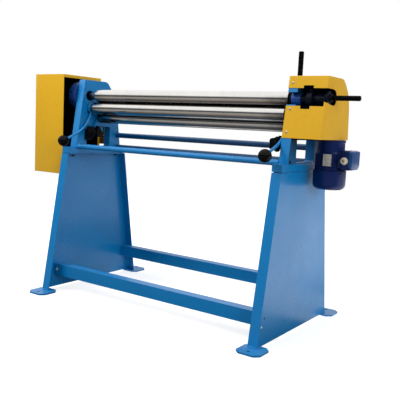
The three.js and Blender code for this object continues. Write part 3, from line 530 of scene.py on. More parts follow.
def socket_screw(bm, origin, d, r=6.5, head=6.0, key=5.0, mat=0, hole=None):
    prof = [(0.0, 0.0), (0.0, r), (head - 0.8, r), (head, r - 0.8), (head, key * 0.60), (head - 0.3, key / 2, 6), (head * 0.4, key / 2, 6)]
    lathe(bm, origin, d, prof, 36, mat=mat)
    lathe(bm, origin, d, [(head * 0.4, key / 2, 6), (head * 0.4, 0.0)], 36, mat=mat if hole is None else hole)
    return bm


def button_screw(bm, origin, d, r=5.2, head=3.0, key=3.2, mat=0, washer=6.0, start=0.3):
    prof = [(start, 0.0), (start, washer), (start + 0.8, washer), (start + 0.8, r), (start + 1.3, r), (start + 0.8 + head * 0.72, r * 0.78),
            (start + 0.8 + head, r * 0.46), (start + 0.8 + head, key / 2, 6), (start + 1.6, key / 2, 6), (start + 1.6, 0.0)]
    return lathe(bm, origin, d, fillet(prof, 0.25, 2), 36, mat=mat)


def weld_bead(bm, a, b, r=2.6, pitch=2.8, mat=0):
    n = max(6, int((b - a).length * 1000 / pitch * 3))
    pts = [a.lerp(b, i / n) + Vector((rnd.uniform(-1, 1), rnd.uniform(-1, 1), rnd.uniform(-1, 1))) * 2.0e-4 for i in range(n + 1)]
    length = (b - a).length * 1000
    return tube(bm, pts, lambda s: r * (0.86 + 0.22 * abs(math.sin(math.pi * s * length / pitch))) * (0.45 + 0.55 * min(1.0, 12 * s, 12 * (1 - s))), 10, mat)


def from_node(node, dissolve=0.4):
    """A welded copy of a CAD node's mesh, with its flat areas joined, to be dressed as its visual piece."""
    bm = bmesh.new()
    bm.from_mesh(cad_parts[node].data)
    bmesh.ops.remove_doubles(bm, verts=bm.verts, dist=2e-6)
    bmesh.ops.dissolve_limit(bm, angle_limit=math.radians(dissolve), use_dissolve_boundaries=False, verts=bm.verts, edges=bm.edges)
    bmesh.ops.recalc_face_normals(bm, faces=bm.faces)
    bm.normal_update()
    return bm


def dress(node, mat, width=1.0, segments=2, angle=34.0, dissolve=True, smooth=34.0):
    """A CAD node that stays: welded and rounded by modifiers, with its own material."""
    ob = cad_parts[node]
    me = ob.data
    if "custom_normal" in me.attributes:
        me.attributes.remove(me.attributes["custom_normal"])
    me.materials.clear()
    me.materials.append(mat)
    me.shade_smooth()
    w = ob.modifiers.new("weld", "WELD")
    w.merge_threshold = 2e-6
    if dissolve:
        d = ob.modifiers.new("flat", "DECIMATE")
        d.decimate_type = "DISSOLVE"
        d.angle_limit = math.radians(0.4)
    if width:
        b = ob.modifiers.new("round", "BEVEL")
        b.width = width * 1e-3
        b.segments = segments
        b.limit_method = "ANGLE"
        b.angle_limit = math.radians(angle)
        b.use_clamp_overlap = True
        b.harden_normals = True
        b.miter_outer = "MITER_ARC"
    return ob


# ------------------------------------------------------------------ stand
BASE = "machine_base"
for side in ("left", "right"):
    dress(f"{side}_leg_panel", M_BLUE, 1.4, 3)
    dress(f"{side}_head_base", M_BLUE, 0.8, 2)
    for end in ("front", "rear"):
        dress(f"{side}_{end}_foot_plate", M_BLUE, 1.1, 3)
dress("front_beam", M_BLUE, 1.2, 3)
dress("rear_beam", M_BLUE, 1.2, 3)

FOOT_X = {"left": -575.0, "right": 590.0}
for s, side in ((-1, "left"), (1, "right")):
    bm = bmesh.new()
    for f in (-1, 1):
        # welds between the stand panel and its foot plates
        weld_bead(bm, V(s * 601.4, f * 280.5, 9.3), V(s * 601.4, f * 312.0, 9.3))
        weld_bead(bm, V(s * 599.0, f * 314.6, 9.3), V(s * 559.0, f * 314.6, 9.3))
        weld_bead(bm, V(s * 594.6, f * 281.0, 9.3), V(s * 594.6, f * 307.0, 9.3), 2.0)
    # welds under the head base
    for y in (-150, -50, 50, 150):
        weld_bead(bm, V(s * 600.4, y - 17, 668.0), V(s * 600.4, y + 17, 668.0), 1.5)
    place(f"{side}_stand_welds", bm, M_BLUE, BASE, angle=60)
    # bolts that hold the head on the stand, seen from inside the panel's top
    bm = bmesh.new()
    for y in (-150, 150):
        hex_bolt(bm, V(s * 578.0, y, 662.3), (0, 0, -1), 16.0, 7.0)
    place(f"{side}_head_bolts", bm, M_OXIDE, BASE, angle=30)
    # small fixings through the stand panel
    bm = bmesh.new()
    button_screw(bm, V(s * 600.0, -289.0, 84.0), (s, 0, 0), 4.4, 2.2, 2.8, washer=5.0, start=0.1)
    place(f"{side}_panel_bolts", bm, M_ZINC, BASE, angle=30)
    # beam end bolts, on the inside of the panel web
    bm = bmesh.new()
    for y, z in ((-222, 98.0), (262, 121.5)):
        hex_bolt(bm, V(s * 592.3, y, z), (-s, 0, 0), 15.0, 6.0)
    place(f"{side}_beam_bolts", bm, M_ZINC, BASE, angle=30)
bm = bmesh.new()
hex_bolt(bm, V(-574.0, -245.2, 98.0), (0, -1, 0), 11.0, 4.0)
place("front_beam_bolt", bm, M_ZINC, BASE, angle=30)

# ------------------------------------------------------------------ head
dress("left_side_frame", M_BLUE, 1.6, 3)
# the right frame carries painted shade on its outer face
dress("right_side_frame", M_BLUE_R, 1.6, 3)
dress("swivel_bearing_housing", M_DISC, 0.8, 2)
dress("swivel_bearing", M_JOURNAL, 0.3, 2, dissolve=False)
for side in ("left", "right"):
    dress(f"{side}_pinch_bearing_block", M_IRON, 0.7, 2)
    dress(f"{side}_rear_bearing_arm", M_BLUE, 0.7, 2)
    dress(f"{side}_adjuster_bracket", M_IRON, 0.8, 2)
    dress(f"{side}_adjusting_wedge", M_IRON, 0.6, 2)
dress("gear_cover_bracket", M_BRACKET, 0.8, 2)


def rod(name, node, r, y, z, x, mat=None):
    bm = bmesh.new()
    lathe(bm, V(-x, y, z), (1, 0, 0), fillet([(0, 0), (0, r - 1.0), (1.0, r), (2 * x - 1.0, r), (2 * x, r - 1.0), (2 * x, 0)], 0.3, 2), 64)
    return place(name, bm, mat or M_BLUE, BASE, node)


rod("front_tie_rod_v", "front_tie_rod", 12.5, -140, 702.5, 554.7)
# the rear rods take the darker painted-shade blue
rod("rear_upper_tie_rod_v", "rear_upper_tie_rod", 13.5, 140, 761, 557, M_BLUE_REAR_SHADE)
rod("rear_lower_tie_rod_v", "rear_lower_tie_rod", 12.5, 140, 700, 554.7, M_BLUE_REAR_SHADE)

for s, side in ((-1, "left"), (1, "right")):
    bm = bmesh.new()
    for y, z in ((140, 761), (140, 709)):
        hex_bolt(bm, V(s * 597.7, y, z), (s, 0, 0), 14.0, 5.5)
    place(f"{side}_rod_bolts", bm, M_OXIDE, BASE, angle=30)
    # painted shade: a thin dark disc on the frame's outer face by the front rod's end, where its hole lies in shadow
    bm = bmesh.new()
    lathe(bm, V(s * 597.6, -133.0, 707.0), (s, 0, 0), [(0, 0), (0, 7.0), (0.8, 7.0), (0.9, 6.2), (0.3, 5.6), (0.3, 0)], 32)
    place(f"{side}_front_rod_hole_shade", bm, M_HOLE, BASE, angle=30)

bm = bmesh.new()
for a in (30, 90, 150, 210, 330):
    t = math.radians(a)
    socket_screw(bm, V(-644.0, -60 + 52 * math.cos(t), 953 + 52 * math.sin(t)), (-1, 0, 0), 6.5, 6.0, 5.0)
for a in (168, 205):
    t = math.radians(a)
    d = Vector((0, math.cos(t), math.sin(t)))
    socket_screw(bm, V(-622.0, -60, 953) + d * 0.0688, d, 5.0, 3.4, 4.0)
place("swivel_housing_screws", bm, M_OXIDE, BASE, angle=30)

# bolts of the gear cover bracket
bm = bmesh.new()
for x, z in ((-700, 760), (-700, 895), (-655, 760), (-655, 895)):
    hex_bolt(bm, V(x, 101.0, z), (0, 1, 0), 10.0, 4.0)
for z in (850, 900):
    hex_bolt(bm, V(-604.3, 112.0, z), (-1, 0, 0), 10.0, 4.0)
place("gear_cover_bracket_bolts", bm, M_ZINC, BASE, angle=30)

# ------------------------------------------------------------------ rolls


def roll(name, node, body, prof, y, z, split, mat=None):
    """A roll as one turned shape; its journals have their own finish, picked by radius; split is not used."""
    bm = bmesh.new()
    lathe(bm, V(0, y, z), (1, 0, 0), fillet(prof, 0.7, 3), 128)
    tidy(bm)
    for f in bm.faces:
        c = f.calc_center_median()
        rr = math.hypot(c.y - y * 1e-3, c.z - z * 1e-3)
        f.material_index = 0 if rr > 0.0272 else 1
    return place(name, bm, [mat or M_ROLL, M_JOURNAL], body, node, angle=25)


roll("top_roll_v", "top_roll", "top_roll_body",
     [(-664, 0), (-666, 2.6), (-669, 2.6), (-672, 6.2), (-672, 14.2), (-671.2, 15), (-649, 15), (-649, 17.3), (-648.3, 18), (-506, 18),
      (-504, 28.7), (-502.5, 30.22), (545.5, 30.22), (547, 28.7), (547, 18), (703.2, 18), (704, 17.2), (704, 6.2), (701, 2.6), (698, 2.6), (696, 0)], -60, 953, 3)
roll("pinch_roll_v", "pinch_roll", "pinch_roll_body",
     [(-664, 0), (-666, 2.6), (-669, 2.6), (-672, 6.0), (-672, 11.2), (-671.2, 12), (-598, 12), (-598, 14.4), (-597.4, 15), (-522, 15),
      (-522, 28.7), (-520.5, 30.22), (533.5, 30.22), (535, 28.7), (535, 15), (599, 15), (599, 13), (620, 13), (620.5, 12.4), (620.5, 6), (617.5, 2.6), (614, 2.6), (612, 0)], -60, 892.5, 3, M_ROLL_PINCH)
roll("rear_roll_v", "rear_roll", "rear_roll_body",
     [(-589, 0), (-591, 2.6), (-594, 2.6), (-597, 6), (-597, 11.3), (-596.3, 12), (-538, 12), (-538, 28.5), (-536.5, 30),
      (536.5, 30), (538, 28.5), (538, 12), (596.3, 12), (597, 11.3), (597, 6), (594, 2.6), (591, 2.6), (589, 0)], -4, 851, 3, M_ROLL_REAR)
for node in ("top_roll_gear", "pinch_roll_gear", "pinch_drive_gear", "output_gear_shaft"):
    dress(node, M_IRON, 0.5, 2)
dress("worm_wheel", M_BRONZE, 0.3, 2)
dress("worm_shaft", M_JOURNAL, 0.0)
dress("motor_rotor", M_JOURNAL, 0.5, 2)
dress("motor_fan", M_PLASTIC, 0.5, 2)

# ------------------------------------------------------------------ swing end of the top roll
bm = bmesh.new()
lathe(bm, V(0, -60, 953), (1, 0, 0), fillet([(557, 18.3), (557, 22.3), (558.2, 23.5), (596.8, 23.5), (598, 22.3), (598, 18.3)], 0.3, 2, closed=True), 96, closed=True)
place("right_bearing_housing_v", bm, M_ROYAL, "top_carrier", "right_bearing_housing")
bm = bmesh.new()
lathe(bm, V(0, -60, 953), (1, 0, 0), fillet([(549.2, 18.2), (549.2, 24.6), (550.0, 25.4), (555.8, 25.4), (556.6, 24.6), (556.6, 18.2)], 0.3, 2, closed=True), 96, closed=True)
place("right_bearing_shield", bm, M_PLASTIC, "top_carrier")

bm = bmesh.new()
lathe(bm, V(0, -60, 953), (1, 0, 0), fillet([(598.3, 18.3), (598.3, 21), (627, 21), (627, 36.5), (629, 38.5), (650, 38.5), (652, 36.5), (652, 23),
      (655, 23), (655, 21.8), (658, 21.8), (658, 23), (681, 23), (681, 21.8), (684, 21.8), (684, 23), (705, 23), (705, 18.3)], 0.8, 3, closed=True), 96, closed=True)
lathe(bm, V(0, -60, 959), (1, 0, 0), fillet([(700, 0), (700, 26), (701.5, 27.5), (710, 27.5), (711.5, 26), (711.5, 14), (721, 14), (722, 13), (722, 6.3), (713, 6.3), (713, 0)], 0.8, 3), 96)
place("swing_yoke_v", bm, M_YOKE, "top_carrier", "swing_yoke")
bm = bmesh.new()
for a in (60, 180, 300):
    t = math.radians(a)
    socket_screw(bm, V(652.0, -60 + 30.5 * math.cos(t), 953 + 30.5 * math.sin(t)), (1, 0, 0), 4.6, 3.2, 3.6)
place("yoke_screws", bm, M_OXIDE, "top_carrier", angle=30)

bm = bmesh.new()
lathe(bm, V(0, -60, 959), (1, 0, 0), fillet([(712, 0), (712, 6), (722.3, 6), (722.3, 9.4), (723, 10), (830.6, 10), (833, 7.8), (833, 0)], 0.6, 4), 64)
place("pull_handle_v", bm, M_BLACK, "top_carrier", "pull_handle")

bm = bmesh.new()
outline = []
for i in range(25):
    t = math.radians(-15 + i * 210 / 24)
    outline.append((-60 + 18 * math.cos(t), 1003 + 18 * math.sin(t)))
for i in range(21):
    t = math.radians(190 + i * 160 / 20)
    outline.append((-60 + 17.5 * math.cos(t), 995 + 17.5 * math.sin(t)))
prism(bm, outline, lambda p, a: V(a, p[0], p[1]), 569, 591)
round_edges(bm, 1.4, 3, 40)
place("lock_lever_cam", bm, M_BLACK, "lock_body", "lock_lever")
bm = bmesh.new()
lathe(bm, V(580, -60, 0), (0, 0, 1), fillet([(1003, 0), (1003, 10), (1134.6, 10), (1137, 7.8), (1137, 0)], 0.7, 4), 64)
lathe(bm, V(0, -60, 1003), (1, 0, 0), fillet([(560, 0), (560, 5.4), (560.6, 6), (595, 6), (595.5, 5.4), (595.5, 0)], 0.3, 2), 32)
place("lock_lever_bar", bm, M_BLACK, "lock_body")

# ------------------------------------------------------------------ ball levers and star knobs
for s, side in ((-1, "left"), (1, "right")):
    x = s * 547.0
    body = f"{side}_lever_body"
    bm = bmesh.new()
    lathe(bm, V(0, -60, 892.5), (1, 0, 0), fillet([(s * 540.5, 15.3), (s * 540.5, 24.6), (s * 541.9, 26), (s * 552.1, 26), (s * 553.5, 24.6), (s * 553.5, 15.3)], 0.3, 2, closed=True), 80, closed=True)
    place(f"{side}_eccentric_hub", bm, M_BLUE, body, f"{side}_eccentric_lever")
    pts = [V(x, y, z) for y, z in ((-66.5, 875.5), (-73, 852), (-86, 829), (-106, 802), (-138, 777), (-174, 760), (-206, 746.5), (-232, 735.6))]
    bm = bmesh.new()
    tube(bm, catmull(pts, 9), lambda t: 6.2 + 2.3 * max(0.0, 1 - t * 14) ** 2, 32)
    place(f"{side}_eccentric_arm", bm, M_BLUE, body, angle=50)
    # ball with a flat and a ferrule where the arm enters it
    d = Vector((0, 58, 24.4)).normalized()
    R = 26.5
    prof = [(-R, 0)]
    for i in range(1, 44):
        t = math.pi - i / 43 * (math.pi - math.radians(23))
        prof.append((R * math.cos(t), R * math.sin(t)))
    flat = R * math.cos(math.radians(23))
    prof += [(flat, 8.4), (flat - 0.6, 7.8), (flat - 5, 7.8)]
    bm = bmesh.new()
    lathe(bm, V(x, -245, 730), d, prof, 96)
    lathe(bm, V(x, -245, 730), d, [(flat - 5, 7.8), (flat - 5, 0)], 96)
    place(f"{side}_ball_knob_v", bm, M_GLOSS, body, f"{side}_ball_knob", angle=40)
    bm = bmesh.new()
    lathe(bm, V(x, -245, 730), d, fillet([(flat - 3, 7.0), (flat - 3, 7.7), (flat + 1.2, 7.7), (flat + 1.8, 7.2), (flat + 1.8, 6.9)], 0.2, 2), 48)
    place(f"{side}_ball_ferrule", bm, M_ZINC, body, angle=30)

    # star knob: five soft lobes, domed hub, trapezoidal thread
    sx = s * 513.0
    lobes = lambda r, t: r * (1 + 0.103 * math.cos(5 * t))
    bm = bmesh.new()
    prof = [(-110, 0), (-110, 9.5), (-109, 11.6), (-106.6, 13.6), (-106.2, 15.5)]
    prof += [(-106.2, 18.0, lobes), (-106.0, 24.6, lobes), (-105.2, 26.9, lobes), (-103.8, 28.4, lobes), (-101.8, 29.0, lobes), (-94.2, 29.0, lobes),
             (-92.2, 28.4, lobes), (-90.8, 26.9, lobes), (-90.0, 24.6, lobes), (-90.0, 15.2), (-88.8, 14.0), (-85.0, 11.6), (-84.0, 10.6), (-84.0, 0)]
    lathe(bm, V(sx, 0, 773), (0, 1, 0), prof, 120)
    place(f"{side}_star_knob", bm, M_PLASTIC, f"{side}_screw_body", f"{side}_star_knob_screw", angle=38)
    bm = bmesh.new()
    d0, u0, w0 = axes_of((0, 1, 0))
    rows, seg = 92, 36
    grid = []
    for j in range(rows + 1):
        y = -84.4 + (28.1) * j / rows
        ring = []
        for i in range(seg):
            t = i / seg * TAU
            ph = ((y / 6.0) - t / TAU) % 1.0
            tri = abs(ph - 0.5) * 2
            r = 6.0 - 1.1 * min(1.0, max(0.0, (tri - 0.35) / 0.25))
            ring.append(bm.verts.new(V(sx, y, 773) + (u0 * math.cos(t) + w0 * math.sin(t)) * r * 1e-3))
        grid.append(ring)
    for a, b in zip(grid, grid[1:]):
        for i in range(seg):
            j = (i + 1) % seg
            bm.faces.new((a[i], a[j], b[j], b[i]))
    bm.faces.new(grid[0])
    bm.faces.new(list(reversed(grid[-1])))
    place(f"{side}_adjusting_thread", bm, M_JOURNAL, f"{side}_screw_body", angle=30)
    bm = bmesh.new()
    for z in (743.0, 780.0):
        socket_screw(bm, V(s * 549.0, -83.0, z), (-s, 0, 0), 5.0, 2.8, 4.0)
    place(f"{side}_bracket_screws", bm, M_OXIDE, BASE, angle=30)

# ------------------------------------------------------------------ sheet covers


def cover(name, node, inner, outer_radius, edge_test, flange=None):
    """The sheet cover from its CAD solid: folds rounded outside, near black inside as painted shade, sheet edges
    yellow, and the faces that flange picks in a painted shaded brown.
    """
    bm = from_node(node)
    for f in bm.faces:
        per = sum(e.calc_length() for e in f.edges)
        thin = 2.0 * f.calc_area() / per < 0.00215
        f.material_index = 1 if (not thin and inner(f.calc_center_median(), f.normal)) else 0
        if flange is not None and flange(f.calc_center_median(), f.normal):
            f.material_index = 2
    edges = [e for e in bm.edges if len(e.link_faces) == 2 and e.calc_face_angle(0.0) > math.radians(40)
             and all(f.material_index == 0 and 2.0 * f.calc_area() / sum(x.calc_length() for x in f.edges) >= 0.00215 for f in e.link_faces) and edge_test(e)]
    bmesh.ops.bevel(bm, geom=edges, offset=outer_radius * 1e-3, offset_type="OFFSET", segments=4, profile=0.5, affect="EDGES", clamp_overlap=True)
    return place(name, bm, [M_YELLOW, M_INSIDE_SHADE, M_RIM_SHADE], BASE, node, angle=38, fresh=False)


def gear_inner(c, n):
    x, y, z = c.x * 1000 - SHIFT_X, c.y * 1000, c.z * 1000
    return -844.5 < x < -640.5 and -164.5 < y < 94.5 and 560.5 < z < 1051.5


def drive_inner(c, n):
    to = V(640, 0, 900) - c
    return n.dot(to) > 0


# faces of the gear cover's rear rim, which get the painted shaded brown
def rear_rim(c, n):
    x, y = c.x * 1000 - SHIFT_X, c.y * 1000
    return x > -641.0 and y > 79.0


cover("gear_cover_v", "gear_cover", gear_inner, 2.6, lambda e: True, rear_rim)
cover("drive_cover_v", "drive_cover", drive_inner, 2.6, lambda e: True)

# rubber seal between the drive cover's back and the side frame, and a dark strip under the cover's bottom edge as
# painted shadow
bm = bmesh.new()
rim = [(129.6, 802), (118, 922), (110.0, 961), (93.2, 990.4), (66.5, 1019.8), (44.8, 1034.7), (29.4, 1037.7), (-40.0, 1037.7)]
mid = Vector((10.0, 905.0))
for (ya, za), (yb, zb) in zip(rim, rim[1:]):
    quad = []
    for py, pz, k in ((ya, za, 0.0), (yb, zb, 0.0), (yb, zb, 4.0), (ya, za, 4.0)):
        q = Vector((py, pz))
        q += (mid - q).normalized() * k
        quad.append((q.x, q.y))
    prism(bm, quad, lambda p, a: V(a, p[0], p[1]), 597.75, 603.5)
# painted shadow: a dark strip just under the drive cover's bottom edge
prism(bm, [(-128.0, 793.2), (112.0, 793.2), (112.0, 799.7), (-128.0, 799.7)], lambda p, a: V(a, p[0], p[1]), 597.75, 600.6)
place("drive_cover_seal_and_shadow_strip", bm, M_HOLE, BASE, angle=50)

t = math.atan(0.157)
normal = Vector((0, -math.cos(t), math.sin(t)))
yo = lambda z: -151.8 + (z - 698.6) * 0.157 - 2.6
for i, z in enumerate((1013, 912, 823)):
    bm = bmesh.new()
    button_screw(bm, V(575, yo(z), z), normal, 4.4, 2.8, 2.8, washer=5.0)
    place(f"drive_cover_screw_{i + 1}_v", bm, M_ZINC, BASE, f"drive_cover_screw_{i + 1}", angle=35)
# rear screws of the drive cover
bm = bmesh.new()
for z in (830, 915):
    yb = 131 - (z - 800) * 11 / 123
    button_screw(bm, V(580, yb, z), (0, 1, 0.09), 5.0, 2.8, 3.2, washer=5.8, start=0.0)
place("drive_cover_rear_screws", bm, M_ZINC, BASE, angle=35)

# ------------------------------------------------------------------ gearbox and motor
dress("gearbox_housing", M_NAVY, 0.8, 2)
dress("gearbox_side_cover", M_NAVY, 0.8, 2)
MX, MY = 680.0, 62.5
bm = bmesh.new()
for y, z in ((-24, 816), (-24, 898), (80, 816), (80, 898)):
    socket_screw(bm, V(711.9, y, z), (1, 0, 0), 4.4, 3.6, 3.4)
place("gearbox_screws", bm, M_OXIDE, BASE, angle=30)

bm = bmesh.new()
fins = 36
outline = []
for i in range(fins):
    a = i / fins * TAU
    for da, r in ((-0.46, 56.6), (-0.20, 56.6), (-0.145, 57.4), (-0.115, 60.5), (-0.06, 61.0), (0.06, 61.0), (0.115, 60.5), (0.145, 57.4), (0.20, 56.6)):
        b = a + da * TAU / fins
        outline.append((MX + r * math.cos(b), MY + r * math.sin(b)))
prism(bm, outline, lambda p, z: V(p[0], p[1], z), 677.2, 741.5)
place("motor_fins", bm, M_NAVY, BASE, "motor_housing", angle=28)
bm = bmesh.new()
lathe(bm, V(MX, MY, 0), (0, 0, 1), fillet([(741, 0), (741, 59), (742, 60), (746.6, 60), (748, 58.6), (751, 55), (789, 54), (790, 56.5), (798.6, 56.5), (799.7, 55.4), (799.7, 38), (792, 38), (792, 0)], 1.0, 3), 96)
place("motor_neck", bm, M_NAVY, BASE, angle=30)
bm = bmesh.new()
span_block(bm, MX + 40, MX + 61, MY - 38, MY + 38, 690, 752, 3.0, 3)
place("motor_box_pad", bm, M_NAVY, BASE, angle=30)
rot = Matrix.Rotation(math.radians(11), 4, "Z")
bm = bmesh.new()
block(bm, (37, 16, 52), Matrix.Translation(V(MX, MY, 719.5)) @ rot @ Matrix.Translation(Vector((0, -0.0545, 0))), 2.0, 3)
place("motor_plate_pad", bm, M_NAVY, BASE, angle=30)
bm = bmesh.new()
tag = Matrix.Translation(V(MX, MY, 719.5)) @ rot @ Matrix.Translation(Vector((0, -0.0634, 0)))
block(bm, (33, 1.2, 47), tag, 0.35, 2)
for px in (-13.5, 13.5):
    for pz in (-21, 21):
        p = tag @ Vector((px * 1e-3, -0.0006, pz * 1e-3))
        lathe(bm, p, tag.to_3x3() @ Vector((0, -1, 0)), [(-0.2, 0), (-0.2, 1.7), (0.25, 1.6), (0.6, 1.1), (0.75, 0)], 16)
place("motor_plate_v", bm, M_PLATE, BASE, "motor_plate", angle=35)

# fan cowl: a drawn cup with a slotted bottom
bm = bmesh.new()
side_prof = [(603.5, 53.6), (605.8, 58.8), (610, 62.9), (616, 65.3), (622, 66), (671.5, 66), (672.5, 66.0), (676.7, 66), (676.7, 64.6),
             (622, 64.4), (616, 63.6), (610.8, 61.4), (607.2, 57.6), (605.2, 53.0)]
lathe(bm, V(MX, MY, 0), (0, 0, 1), side_prof, 120)
cells = 120
radii = [(0.01, 600.0), (9.0, 600.0), (14.0, 600.0), (29.0, 600.0), (33.0, 600.0), (47.5, 600.2), (51.0, 601.2), (53.6, 603.5)]
low = [[V(MX + r * math.cos(i / cells * TAU + math.pi / 2), MY + r * math.sin(i / cells * TAU + math.pi / 2), z) for i in range(cells)] for r, z in radii]
top_z = lambda z: z + 1.7
present = lambda j, i: not (j in (2, 4) and (i % 10) in (3, 4, 5, 6))
vl = [[bm.verts.new(p) for p in ring] for ring in low]
vh = [[bm.verts.new(p + Vector((0, 0, 0.0017))) for p in ring] for ring in low]
for j in range(len(radii) - 1):
    for i in range(cells):
        k = (i + 1) % cells
        if not present(j, i):
            for (ja, ia, jb, ib, nj, ni) in ((j, i, j, k, j - 1, i), (j + 1, i, j + 1, k, j + 1, i), (j, i, j + 1, i, j, (i - 1) % cells), (j, k, j + 1, k, j, k)):
                if present(nj, ni):
                    bm.faces.new((vl[ja][ia], vl[jb][ib], vh[jb][ib], vh[ja][ia]))
            continue
        bm.faces.new((vl[j][i], vl[j][k], vl[j + 1][k], vl[j + 1][i]))
        bm.faces.new((vh[j][i], vh[j + 1][i], vh[j + 1][k], vh[j][k]))
place("fan_cowl_v", bm, M_NAVY, BASE, "fan_cowl", angle=34)
bm = bmesh.new()
for a in (-28, 62, 152, 242):
    ta = math.radians(a)
    d = Vector((math.cos(ta), math.sin(ta), 0))
    button_screw(bm, V(MX, MY, 668.5) + d * 0.0658, d, 4.0, 2.0, 2.6, washer=4.4, start=0.1)
place("fan_cowl_screws", bm, M_OXIDE, BASE, angle=35)

# terminal box, lid and gland
bm = bmesh.new()
x0, x1, y0, y1, z0, z1 = MX + 61.3, 772.0, MY - 45, MY + 45, 683.0, 761.0
span_block(bm, x0, x1, y0, y1, z0, z1, 3.5, 3)
place("terminal_box_v", bm, M_NAVY, BASE, "terminal_box", angle=30)
bm = bmesh.new()
span_block(bm, 771.9, 772.6, y0 + 1.6, y1 - 1.6, z0 + 1.6, z1 - 1.6, 0.3, 2)
place("terminal_box_gasket", bm, M_PLASTIC, BASE, angle=30)
bm = bmesh.new()
lid_outline = [(y0, z0 + 16), (y0 + 16, z0), (y1 - 16, z0), (y1, z0 + 16), (y1, z1 - 5), (y1 - 5, z1), (y0 + 5, z1), (y0, z1 - 5)]
prism(bm, lid_outline, lambda p, a: V(a, p[0], p[1]), 772.6, 787.0)
tidy(bm)
lid_mid = V(0, MY, 722)
for v in bm.verts:
    if v.co.x > V(785, 0, 0).x:
        v.co.y += 0.0028 * (1 if v.co.y < lid_mid.y else -1)
        v.co.z += 0.0028 * (1 if v.co.z < lid_mid.z else -1)
round_edges(bm, 2.0, 3, 20)
place("terminal_box_lid_v", bm, M_NAVY_LID, BASE, "terminal_box_lid", angle=24)
bm = bmesh.new()
for y in (y0 + 12, y1 - 12):
    for z in (z0 + 12, z1 - 12):
        lathe(bm, V(786.9, y, z), (1, 0, 0), fillet([(-1.5, 0), (-1.5, 3.6), (0.0, 3.6), (0.0, 3.2), (0.0, 1.3, 4), (-1.0, 1.3, 4), (-1.0, 0)], 0.2, 2), 32)
place("terminal_lid_screws", bm, M_ZINC, BASE, angle=30)

bm = bmesh.new()
ribs = lambda r, t: r * (1 + 0.018 * (1 if math.cos(16 * t) > 0.2 else -0.4))
prof = [(0.2, 0), (0.2, 14.6), (0.6, 15), (2.6, 15), (3.0, 14.7), (3.0, 12.4, 6), (7.2, 12.4, 6), (7.4, 13.4), (7.6, 13.7, ribs), (11.4, 13.4, ribs),
        (13.8, 11.6, ribs), (15.6, 10.4), (16.6, 9.9), (17.0, 9.2), (17.0, 5.6), (16.6, 5.0), (9.0, 5.0), (9.0, 0)]
lathe(bm, V(757, MY - 45.1, 720), (0, -1, 0), prof, 96)
place("cable_gland_v", bm, M_GREY, BASE, "cable_gland", angle=30)

# ------------------------------------------------------------------ floor, light and camera
def floor_disc(name, radii, z):
    me = bpy.data.meshes.new(name)
    disc = bmesh.new()
    centre, last = disc.verts.new((0, 0, z)), None
    for r in radii:
        ring = [disc.verts.new((r * math.cos(i / 96 * TAU), r * math.sin(i / 96 * TAU), z)) for i in range(96)]
        for i in range(96):
            j = (i + 1) % 96
            disc.faces.new((centre, ring[i], ring[j]) if last is None else (last[i], ring[i], ring[j], last[j]))
        last = ring
    disc.to_mesh(me)
    disc.free()
    ob = bpy.data.objects.new(name, me)
    scene.collection.objects.link(ob)
    return ob


class Nodes:
    def __init__(self, tree):
        self.t = tree
        tree.nodes.clear()

    def n(self, kind, **kw):
        node = self.t.nodes.new(kind)
        for k, v in kw.items():
            setattr(node, k, v)
        return node

    def put(self, socket, v):
        if hasattr(v, "links"):
            self.t.links.new(v, socket)
        else:
            socket.default_value = v

    def span(self, x, a0, a1, b0=0.0, b1=1.0):
        node = self.n("ShaderNodeMapRange", interpolation_type="SMOOTHSTEP", clamp=True)
        for key, v in (("Value", x), ("From Min", a0), ("From Max", a1), ("To Min", b0), ("To Max", b1)):
            self.put(node.inputs[key], v)
        return node.outputs["Result"]

    def math(self, op, a, b=0.0):
        node = self.n("ShaderNodeMath", operation=op)
        self.put(node.inputs[0], a)
        self.put(node.inputs[1], b)
        return node.outputs[0]

    def blend(self, f, a, b):
        return self.math("ADD", self.math("MULTIPLY", self.math("SUBTRACT", 1.0, f), a), self.math("MULTIPLY", f, b))

    def split(self, v):
        node = self.n("ShaderNodeSeparateXYZ")
        self.t.links.new(v, node.inputs[0])
        return node.outputs


def floor_material(name, albedo, strength):
    m = bpy.data.materials.new(name)
    m.use_nodes = True
    k = Nodes(m.node_tree)
    out, add = k.n("ShaderNodeOutputMaterial"), k.n("ShaderNodeAddShader")
    dif, emi = k.n("ShaderNodeBsdfDiffuse"), k.n("ShaderNodeEmission")
    dif.inputs["Color"].default_value = (albedo, albedo, albedo, 1)
    x, y, z = k.split(k.n("ShaderNodeTexCoord").outputs["Object"])
    k.put(emi.inputs["Strength"], strength(k, x, y))
    k.t.links.new(dif.outputs[0], add.inputs[0])
    k.t.links.new(emi.outputs[0], add.inputs[1])
    k.t.links.new(add.outputs[0], out.inputs[0])
    return m


def pale_strength(k, x, y):
    r = k.math("SQRT", k.math("ADD", k.math("MULTIPLY", x, x), k.math("MULTIPLY", y, y)))
    return k.span(r, 0.8, 2.2, 0.70, 1.0)


def lit_strength(k, x, y):
    """Floor as the machine sees it: bright to the right and behind, dim in front, dark underneath."""
    right_side = k.span(x, 0.60, 1.1)
    behind = k.span(k.math("ADD", y, k.math("MULTIPLY", x, 0.5)), 1.3, 2.8)
    bright = k.math("MULTIPLY", k.math("MAXIMUM", right_side, behind), k.span(y, -0.7, 0.2))
    bright = k.math("MULTIPLY", bright, k.span(y, 6.7, 6.2))
    front = k.span(y, -0.35, -1.5, 0.035, 0.34)
    under = k.math("MULTIPLY", k.span(y, 0.10, 0.20), k.span(y, 0.70, 0.58))
    return k.blend(bright, k.blend(under, front, 0.72), 1.30)


